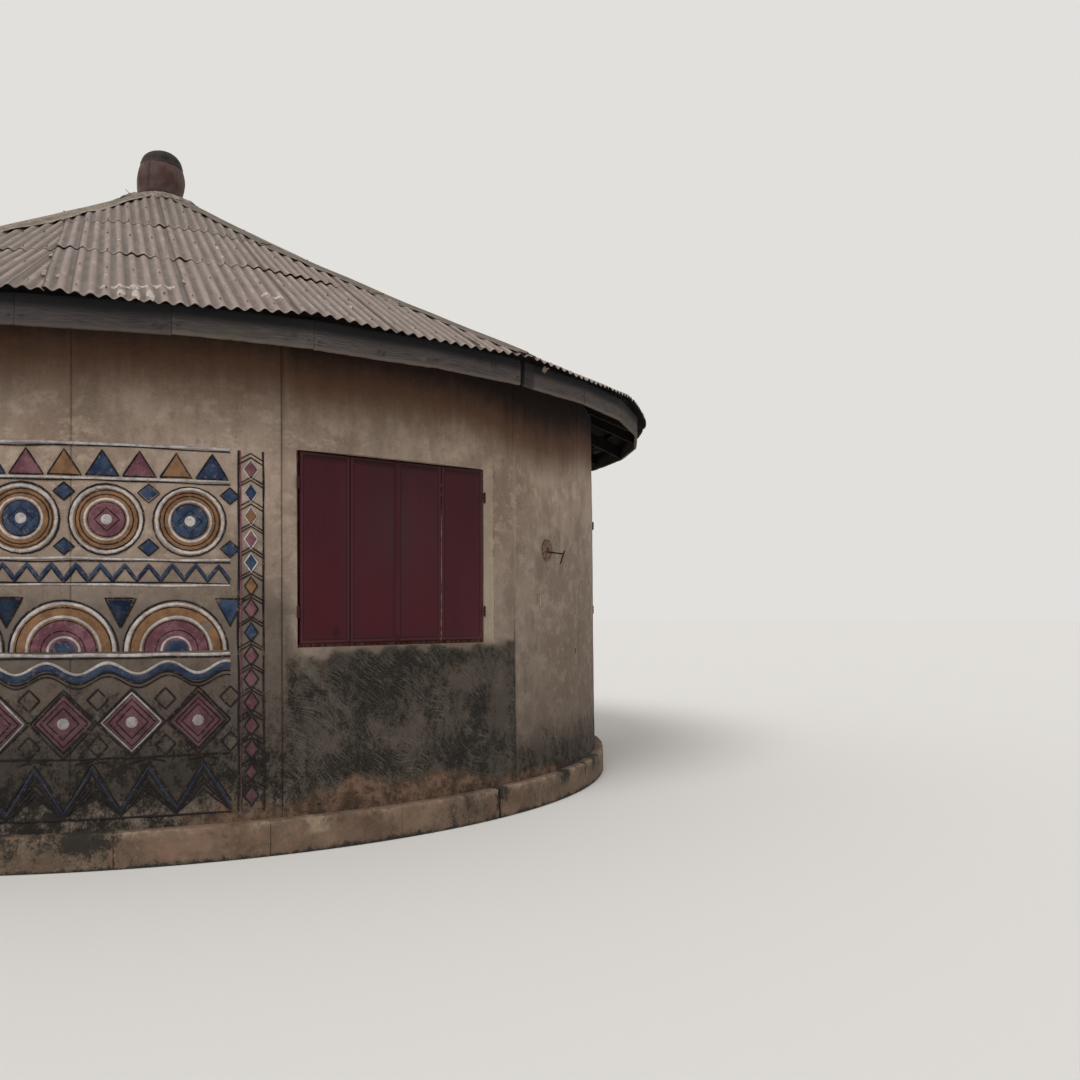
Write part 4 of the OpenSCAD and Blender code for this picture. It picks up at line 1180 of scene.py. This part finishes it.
scraps = [scrap(row, front_line, *shape) for row, *shape in front_scraps]
draw = np.random.default_rng(12)
for run in range(6):
    for row, end, stop in ((0, 4.5, 3.3), (1, 3.0, 2.15)):
        while end > stop:
            long, left = draw.uniform(0.1, 0.28), -0.79 + draw.uniform(-0.012, 0.02)
            scraps.append(scrap(row, front_line + run * run_span, left, left + draw.uniform(0.014, 0.03), end,
                                end - long, len(scraps), 0.004))
            end -= long + draw.uniform(0.08, 0.3)
u = np.linspace(0, 1, 9)[None, :]
v = np.linspace(0, 1, 7)[:, None]
flap_x = -flap_wide / 2 + flap_wide * u
flap_hang = 0.036 * (1 - np.abs(u - 0.35) * 1.5) + 0.008 * np.abs(np.sin(u * 7))
flap_z = flap_up - v * flap_hang + 0.003 * np.sin(u * 9)
flap_out = flap_reach - 0.012 * v + 0.004 * np.sin(u * 11 + v * 3)
scraps.append(plate(*(stood(flap_at, flap_x, flap_out - back, flap_z) for back in (0, 0.002)), brown=1))
make("torn_scraps", scraps, scrap_finish)

# Hip caps: lengths of plain steel sheet folded over each hip, one to a row of sheets.
# Each was nailed down through the crests on both sides of its fold.
cap_wing = 0.115
cap_rise = 0.0262
cap_nail_aside = 0.085
cap_cell = 0.028
cap_shares = np.array([-1, -0.97, -0.8, -0.5, -0.2, -0.09, 0, 0.09, 0.2, 0.5, 0.8, 0.97, 1])[None, :]
cap_finish = Finish("weathered_cap", 0.68, 0.1)
cap_finish.colour((102, 93, 82),
                  ((0.18, 1, 7.0, 0.66), (0.36, 0.62), (142, 129, 115)),
                  (cap_finish.mark("edge") * cap_finish.lumps(0.02).fade(0.4, 0.6), None, (176, 162, 140)),
                  ((0.06, 1, 6.0), (0.55, 0.66), (92, 74, 62), 0.6),
                  ("pink", None, (150, 122, 112)),
                  # Painted shade: cap 1, on the right hip of the front, is mixed darker because it is turned
                  # from the light.
                  ("dull", None, (84, 76, 66), 0.6))
cap_finish.dent((0.012, 1, 5.0), 0.002, 0.7)


def hip_line(number):
    return run_middle - run_span / 2 + number * run_span


def hip_cap(number, row):
    """One length of cap, its wings uneven and its lower end ragged."""
    inner = 0.3 if row == 2 else row_outer[row + 1] - 0.03
    outer = row_outer[row] - (0.02 if row == 0 else 0.0)
    down = np.linspace(inner, outer, round((outer - inner) / cap_cell) + 1)[:, None]
    share = cap_shares
    along = spots(down, np.sign(share), number + row * 3)
    wing = cap_wing * (0.98 + 0.06 * uneven(along, 0.18, 91) + 0.04 * uneven(along, 0.05, 92))
    across = share * wing + 0.006 * uneven(spots(down, 0, number), 1.1, 93)
    lift = cap_rise + 0.005 * (uneven(along, 0.16, 94) + 1) * ease(np.abs(share), 0.3, 1)
    lift = lift - 0.006 * ease(np.abs(share), 0.88, 1)
    lift = lift + 0.009 * bulge(share, 0, 0.14) + 0.0015 * uneven(along, 0.35, 95)
    ragged = torn(share[0] * 0.2, number + row * 9, 96, 0.012)
    down = down - ragged * ease(down, outer - 0.05, outer)
    top, below = (on_roof(row, hip_line(number), across, down, lift - metal)[0] for metal in (0, 0.0022))
    # Cap 1 is marked dull: painted shade on the right hip of the front.
    return plate(top, below, edge=ease(np.abs(share), 0.8, 1) + 0.5 * bulge(share, 0, 0.12),
                 pink=(number == 0 and row == 0) * 0.6 * ease(down, 3.5, 3.7), dull=number == 1)


cap_nails = []
for number in range(6):
    for line in [line for lines in row_lines for line in lines[:2]] + [4.1, 3.45, 2.75, 2.05, 1.35, 0.7]:
        row = 0 if line > 3.17 else (1 if line > 1.76 else 2)
        for side in (-cap_nail_aside, cap_nail_aside):
            cap_nails.append(nail(on_roof(row, hip_line(number), side, line + side * 0.2, cap_rise)[0]))
make("hip_caps_folded", [hip_cap(number, row) for number in range(6) for row in range(3)], cap_finish,
     ["hip_caps"], 45)
make("hip_cap_nails", cap_nails, nail_finish)

# Collar: sheet flashing beaten down round the foot of the finial and bedded in lumps of mortar.
# A loose end of tie wire sticks out of it at the left.
collar_edge = 0.415
collar_neck = 0.212
collar_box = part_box("apex_collar")
collar_head = collar_box[1].z
collar_foot = collar_box[0].z
collar_finish = Finish("collar_flashing", 0.85)
collar_finish.colour((108, 98, 92),
                     ((0.06, 1, 6.0), (0.4, 0.58), (156, 145, 138)),
                     ((0.014,), (0.56, 0.68), (86, 78, 68)),
                     ("shade", None, (34, 28, 26)))
collar_finish.dent((0.01,), 0.002)
turn = np.linspace(-180, 180, 97)[None, :-1]
share = np.array([0, 0.06, 0.25, 0.5, 0.75, 0.93, 1.0, 1.06])[:, None]
ringed = spots(np.sin(np.radians(turn)), np.cos(np.radians(turn)), share)
fold = 0.022 * uneven(ringed, 0.4, 101) * (1 - share) + 0.012 * uneven(ringed, 0.12, 102) * (1 - share)
radius = collar_edge + (collar_neck - collar_edge) * np.minimum(share, 1) + fold * 0.8 - 0.03 * (share > 1.01)
rise = collar_foot + (collar_head - collar_foot) * np.minimum(share, 1) ** 0.9
beaten = 0.016 * np.clip(uneven(ringed, 0.16, 103), -1, 1)
rise = rise + beaten * (1 - share) * np.minimum(0.4 + share * 3, 1) + 0.008
skirt = round_house(turn, radius[:1] - 0.004, rise[:1] - 0.02 - 0.01 * uneven(ringed[:1], 0.12, 104))
inside = round_house(turn, radius[:1] - 0.03, rise[:1] - 0.012)
shade = np.concatenate([[[1], [0.9]], 0.9 * ease(share, 0.82, 0.97)])
collar_parts = [tube(np.concatenate([inside, skirt, round_house(turn, radius, rise)]), shade=shade)]
wire = [round_house(-14.0 - 2 * w, 0.34 + 0.17 * w, collar_foot + 0.035 - 0.02 * w + 0.014 * math.sin(7 * w))
        for w in np.linspace(0, 1, 7)]
collar_parts += [rod(a, b, 0.0025, 6) for a, b in zip(wire, wire[1:])]
make("collar_flashing", collar_parts, collar_finish, ["apex_collar"], 50)

# Finial: an old steel drum stood on the collar, bulging at the middle, its lapped seam to the front left.
# A domed sheet steel lid closes it. Both have rusted, and lean a little to the right.
drum_foot = 0.188
drum_belly = 0.218
drum_rim = 0.19
belly_up = 0.165
drum_tall = 0.313
drum_bands = (0.03, 0.048)
drum_seam_at = -10
lid_rise = 0.151
finial_lean = 3
drum_finish = Finish("rusty_drum", 0.66, 0.15)
drum_finish.colour((72, 47, 42),
                   ((0.12, 1, 6.0), (0.36, 0.62), (92, 74, 68)),
                   ((0.03, 8, 5.0), (0.48, 0.7), (62, 36, 32), 0.5),
                   ("seam", None, (34, 20, 21), 0.9),
                   ("band", None, (104, 84, 74), 0.5))
drum_finish.dent((0.015, 1, 6.0), 0.002, 0.6)


def leaning(angle, radius, up):
    """Points about the finial's own axis, which leans to the right."""
    lean = math.radians(finial_lean)
    x, y, z = np.moveaxis(round_house(angle, radius, up), -1, 0)
    return spots(x * math.cos(lean) + z * math.sin(lean), y,
                 z * math.cos(lean) - x * math.sin(lean) + collar_head + hair_gap)


turn = np.linspace(-180, 180, 91)[None, :-1] + drum_seam_at
up = steps([0, 0.022, 0.03, 0.038, 0.046, 0.054, belly_up, *(drum_tall - d for d in (0.018, 0.008, 0))],
           0.02)[:, None]
end = np.where(up < belly_up, drum_foot, drum_rim)
reach = np.where(up < belly_up, belly_up, drum_tall - belly_up)
side = drum_belly - (drum_belly - end) * ((up - belly_up) / reach) ** 2
band = sum(bulge(up, at, 0.005) for at in drum_bands)
spot = round_house(turn, side, up)
from_seam = (turn - drum_seam_at + 180) % 360 - 180
lap_edge = 0.0025 * between(from_seam, -0.5, 1, 1, 14)
body = side + band * 0.003 + lap_edge
body = body + 0.0028 * uneven(spot, 0.25, 111) + 0.001 * uneven(spot, 0.07, 112) - 0.002
make("finial_barrel", [tube(leaning(turn, body, up), seam=bulge(from_seam, -1, 2.0), band=band)], drum_finish,
     ["finial_drum"])

lid_finish = Finish("dark_lid", 0.7, 0.1)
lid_finish.colour((28, 24, 20),
                  ((0.07, 1, 6.0), (0.36, 0.62), (50, 42, 36)),
                  ("rim", None, (80, 62, 54), 0.3))
lid_finish.dent((0.012,), 0.002)
arc = np.radians([0, 0, 3, *np.linspace(8, 86, 14)])[:, None]
lip, drop, rim = (np.array([*lines, *[0] * 14])[:, None] for lines in (
    (0.004, 0.005, 0.003), (-0.012, 0.002, 0.0), (1, 1, 0.6)))
spot = round_house(turn, drum_rim * np.cos(arc), drum_tall + lid_rise * np.sin(arc))
rise = drum_tall + lid_rise * 0.985 * np.sin(arc) + drop + 0.0015 * uneven(spot, 0.12, 121)
dome = leaning(turn, drum_rim * np.cos(arc) + lip - 0.001, rise)
make("finial_dome", [tube(dome, rim=rim)], lid_finish, ["finial_lid"])

# Hook: a round plate with a raised rim, fixed flat on the wall, and a rusted rod out of its middle.
# The rod droops, and a crosspiece welded to its end leans to the right.
hook_at = 63.1
hook_up = 1.95
plate_radius = 0.084
plate_thick = 0.012
rod_radius = 0.006
rod_reach = 0.14
rod_droop = 0.032
cross_length = 0.12
cross_lean = 34
hook_finish = Finish("hook_rust", 0.85, 0.1)
dish_tone = hook_finish.coats((100, 76, 62), ((0.02,), (0.42, 0.6), (138, 116, 98)))
hook_finish.colour((24, 18, 16), ((0.02, 1, 5.0), (0.38, 0.6), (46, 34, 28)), ("dish", None, dish_tone))
hook_finish.dent((0.006,), 0.001)


def by_hook(x, out, up):
    return stood(hook_at, x, wall_radius(hook_up - plate_radius) + hair_gap + out, hook_up + up)


turn = np.linspace(0, 2 * math.pi, 36, endpoint=False)[None, :]
ring_r = plate_radius * np.array([1, 1, 0.97, 0.86, 0.78, 0.3, 0.24, 0.14])[:, None]
ring_r = ring_r * (1 + 0.02 * np.sin(3 * turn + 1) + 0.012 * np.sin(7 * turn))
ring_out = np.array([0, 0.009, 0.012, 0.012, 0.006, 0.005, 0.014, 0.016])[:, None]
disc = by_hook(ring_r * np.cos(turn), ring_out, ring_r * np.sin(turn))
tip = plate_thick + rod_reach - rod_radius
swing_x, swing_up = (cross_length * trig(math.radians(cross_lean)) for trig in (math.sin, math.cos))
hook_parts = [tube(disc, dish=np.array([0.9, 0.9, 0.8, 0.85, 1, 1, 0.4, 0.2])[:, None]),
              rod(by_hook(0, 0.006, -0.012), by_hook(0, tip * 0.5, -rod_droop * 0.7), rod_radius),
              rod(by_hook(0, tip * 0.48, -rod_droop * 0.69), by_hook(0, tip, -rod_droop), rod_radius * 0.95),
              rod(by_hook(-0.75 * swing_x, tip, -rod_droop - 0.75 * swing_up),
                  by_hook(0.25 * swing_x, tip, -rod_droop + 0.25 * swing_up), rod_radius)]
make("hook_on_the_wall", hook_parts, hook_finish, ["wall_hook"])

# Relief on the first plain bay: flat fields of plaster between rolls of plaster, painted and worn by rain.
# They were modelled by hand on the render while it was wet, then painted in five colours.
relief_left = -3.6
relief_radius = 4.15
roll_rise = 0.006
field_rise = 0.003
roll_cell = 0.035
field_cell = 0.06
plaster_root = 0.006
inner_left = 0.24
inner_right = 2.09
width = inner_right - inner_left
reliefs = {"white": [], "black": [], "ochre": [], "blue": [], "rose": []}


def on_wall(along, up, lift):
    return round_house(relief_left + np.degrees(along / relief_radius), wall_radius(up) + lift, up)


def spaced(points, cell, closed):
    """Points along a line, no further apart than a cell."""
    points = np.array([*points, points[0]] if closed else points, float)
    far = np.concatenate([[0], np.cumsum(np.hypot(*np.diff(points, axis=0).T))])
    at = steps(list(far), cell)
    return np.stack([np.interp(at, far, points[:, 0]), np.interp(at, far, points[:, 1])], -1)


def roll(colour, points, wide, closed=False):
    """A rounded roll of plaster that follows a line of points on the wall."""
    line = spaced(points, roll_cell, closed)
    way = np.gradient(line, axis=0)
    way /= np.linalg.norm(way, axis=1)[:, None] + 1e-9
    aside = np.stack([-way[:, 1], way[:, 0]], -1)
    spot = spots(line[:, 0], line[:, 1], len(reliefs[colour]) * 0.7)
    size = wide / 2 * (1 + 0.14 * uneven(spot, 0.1, 131))
    line = line + aside * (0.003 * uneven(spot, 0.25, 132))[:, None]
    grid = line[:, None] + aside[:, None] * (np.array([-1, -0.75, 0, 0.75, 1]) * size[:, None])[..., None]
    along, up = grid[..., 0], grid[..., 1]
    lift = np.array([0, 0.75, 1, 0.75, 0]) * roll_rise
    reliefs[colour].append(plate(on_wall(along, up, lift), on_wall(along, up, -plaster_root)))


def rolls(rows, shape, closed=True):
    """Rolls of several sizes, each with its colour and width, along one shape."""
    for size, colour, wide in rows:
        roll(colour, shape(size), wide, closed)


def field(colour, points, rise=field_rise):
    """A flat field of plaster that fills an outline."""
    outline = spaced(points, field_cell, True)[:-1]
    middle = outline.mean(0)
    rings = [(middle + (outline - middle) * share, lift) for share, lift in (
        (1, -plaster_root), (1, rise - 0.001), (0.96, rise), (0.5, rise), (0.03, rise))]
    reliefs[colour].append(tube(np.stack([on_wall(ring[:, 0], ring[:, 1], lift) for ring, lift in rings])))


def arc_of(middle, size, end=180, count=19, tall=None):
    turn = np.radians(np.linspace(0, end, count))
    return np.stack([middle[0] + size * np.cos(turn), middle[1] + (tall or size) * np.sin(turn)], -1)


def whole(middle, wide, tall, corners):
    """An outline about a middle: four corners make a diamond, many a disc."""
    return arc_of(middle, wide, 360, corners + 1, tall)[:-1]


for left, right in ((0.06, 0.2), (2.14, 2.29)):
    rolls(((left, "black", 0.013), (right, "black", 0.013), (left + 0.014, "rose", 0.01)),
          lambda along: [(along, 0.27), (along, 2.46)], False)
    for k in range(15):
        middle = ((left + right) / 2, 0.36 + k * 0.142)
        field(("ochre", "blue", "rose")[k % 3] if k > 6 else "rose", whole(middle, 0.038, 0.052, 4))
        roll(("black", "white")[k > 9], whole(middle, 0.042, 0.06, 4), 0.009, True)
        rolls(((0.03, "black", 0.008), (0.052, "black", 0.008)),
              lambda rise: [(left, middle[1] + rise), (middle[0], middle[1] + rise + 0.045),
                            (right, middle[1] + rise)], False)
rolls(((2.46, "white", 0.018), (2.445, "black", 0.009), (2.26, "white", 0.016), (2.246, "black", 0.009),
       (1.79, "white", 0.014), (1.777, "black", 0.009), (1.652, "black", 0.009), (1.64, "white", 0.014),
       (1.23, "white", 0.02), (1.213, "black", 0.01), (0.63, "black", 0.012), (0.28, "black", 0.012)),
      lambda up: [(inner_left, up), (inner_right, up)], False)
for k in range(9):
    left, right = inner_left + width * k / 9, inner_left + width * (k + 1) / 9
    corners = [(left + 0.012, 2.277), (right - 0.012, 2.277), ((left + right) / 2, 2.425)]
    field(("rose", "ochre", "blue")[k % 3], corners)
    roll("black", corners, 0.01, True)
for k in range(4):
    middle = (inner_left + width * (k + 0.5) / 4, 2.02)
    field("ochre", whole(middle, 0.185, 0.185, 24))
    rolls(((0.208, "black", 0.01), (0.19, "white", 0.02), (0.172, "black", 0.008), (0.118, "white", 0.016)),
          lambda size: whole(middle, size, size, 24))
    field(("rose", "blue")[k % 2], whole(middle, 0.105, 0.105, 18), 0.0045)
    roll("black", whole(middle, 0.07, 0.07, 4), 0.009, True)
    rolls(((0.15, "black", 0.008), (0.102, "black", 0.008)), lambda size: whole(middle, size, size, 24))
    field("white", whole(middle, 0.032, 0.032, 10), 0.007)
    for up in (1.86, 2.18):
        field("blue", whole((middle[0] + width / 8, up), 0.05, 0.045, 4))
        roll("black", whole((middle[0] + width / 8, up), 0.058, 0.052, 4), 0.009, True)
zigzag = [(inner_left + width * k / 28, (1.672, 1.758)[k % 2]) for k in range(29)]
rolls(((0, "blue", 0.022), (0.017, "black", 0.008)), lambda drop: [(x, up - drop) for x, up in zigzag], False)
for k in range(3):
    middle = (inner_left + width * (k + 0.5) / 3, 1.25)
    for size, colour, rise in ((0.27, "ochre", 0.003), (0.185, "rose", 0.0045)):
        field(colour, [middle, *arc_of(middle, size)], rise)
    rolls(((0.296, "black", 0.011), (0.278, "white", 0.021), (0.258, "black", 0.008), (0.2, "white", 0.018),
           (0.18, "black", 0.009), (0.12, "black", 0.009), (0.085, "white", 0.016)),
          lambda size: arc_of(middle, size), False)
    field("blue", arc_of(middle, 0.065, 180, 11), 0.006)
    for x in (middle[0] - 0.5 * width / 3, middle[0] + 0.5 * width / 3):
        field("blue", [(x, 1.4), (x + 0.07, 1.55), (x - 0.07, 1.55)])
        roll("black", [(x, 1.39), (x + 0.085, 1.56), (x - 0.085, 1.56)], 0.01, True)
along = np.linspace(inner_left, inner_right, 90)
rolls(((0.0, "blue", 0.036), (0.03, "white", 0.016), (-0.026, "black", 0.012), (-0.05, "black", 0.008)),
      lambda rise: np.stack([along, 1.12 + rise + 0.034 * np.sin(along * 19)], -1), False)
for k in range(5):
    middle = (inner_left + width * (k + 0.5) / 5, 0.835)
    field("rose", whole(middle, 0.15, 0.16, 4))
    rolls(((1.14, "black", 0.012), (1.0, ("black", "white")[k % 2], 0.011), (0.8, "black", 0.009),
           (0.55, "black", 0.01)), lambda size: whole(middle, 0.16 * size, 0.17 * size, 4))
    field("white", whole(middle, 0.034, 0.034, 10), 0.006)
    for up in (0.7, 0.97):
        roll("black", whole((middle[0] + width / 10, up), 0.055, 0.06, 4), 0.011, True)
peaks = [(inner_left + width * k / 12, (0.31, 0.57)[k % 2]) for k in range(13)]
rolls(((0.03, "black", 0.013), (0.0, "blue", 0.014), (-0.03, "black", 0.013), (-0.075, "black", 0.01),
       (-0.11, "black", 0.01), (-0.145, "black", 0.009)),
      lambda rise: [(x, max(up + rise, 0.29)) for x, up in peaks], False)
rolls([(inner_left + width * (2 * k + 1) / 12, "black", 0.01) for k in range(6)],
      lambda x: [(x - 0.09, 0.6), (x, 0.62), (x + 0.09, 0.6)], False)
tints = {"white": ((150, 142, 138), (194, 187, 182)), "black": ((24, 20, 21), (42, 36, 36)),
         "ochre": ((108, 78, 54), (136, 102, 74)), "blue": ((34, 46, 70), (58, 72, 94)),
         "rose": ((92, 56, 64), (122, 84, 90))}
for colour, (under, over) in tints.items():
    plaster = Finish(f"relief_{colour}", 0.9, specular=0.15)
    low = Value(node(plaster.tree, "SeparateXYZ", {0: plaster.place}), "Z").fade(1.6, 0.4)
    plaster.colour(under,
                   ((0.1, 1, 6.0, 0.7), (0.38, 0.62), over),
                   ((0.03, 1, 7.0, 0.72), (0.54, 0.66), (122, 108, 96), 0.6),
                   (low, None, (40, 36, 35), 0.52))
    plaster.dent((0.01,), 0.0015)
    make(f"relief_{colour}_plaster", reliefs[colour], plaster, (), 60)

# Small repairs and marks on the wall: plugged holes and a dab of white plaster pressed on with a thumb.
# Nicks along the foot of the patched render have gone black.
dab_finish = Finish("wall_dabs", 0.9)
dab_finish.colour((176, 166, 148), ((0.01,), (0.4, 0.6), (206, 198, 182)), ("hole", None, (30, 26, 24)))
dab_finish.dent((0.004,), 0.001)
dabs = []
u = np.linspace(-1, 1, 7)[None, :]
v = np.linspace(-1, 1, 7)[:, None]
for angle, up, wide, tall, hole in ((61.6, 1.55, 0.008, 0.09, 0), (32.8, 0.268, 0.03, 0.012, 1),
                                    (71.6, 1.14, 0.01, 0.05, 1), (60.9, 1.6, 0.006, 0.015, 1),
                                    (34.1, 0.272, 0.024, 0.01, 1), (31.9, 0.275, 0.014, 0.01, 1)):
    x = u * wide / 2 * np.sqrt(np.clip(1.05 - v ** 2, 0, 1))
    lift = 0.003 - 0.002 * np.maximum(u ** 2, v ** 2)
    face, back = (stood(angle, x, wall_radius(up) + out, up + v * tall / 2) for out in (lift, -plaster_root))
    dabs.append(plate(face, back, hole=hole))
make("dabs_on_the_wall", dabs, dab_finish)
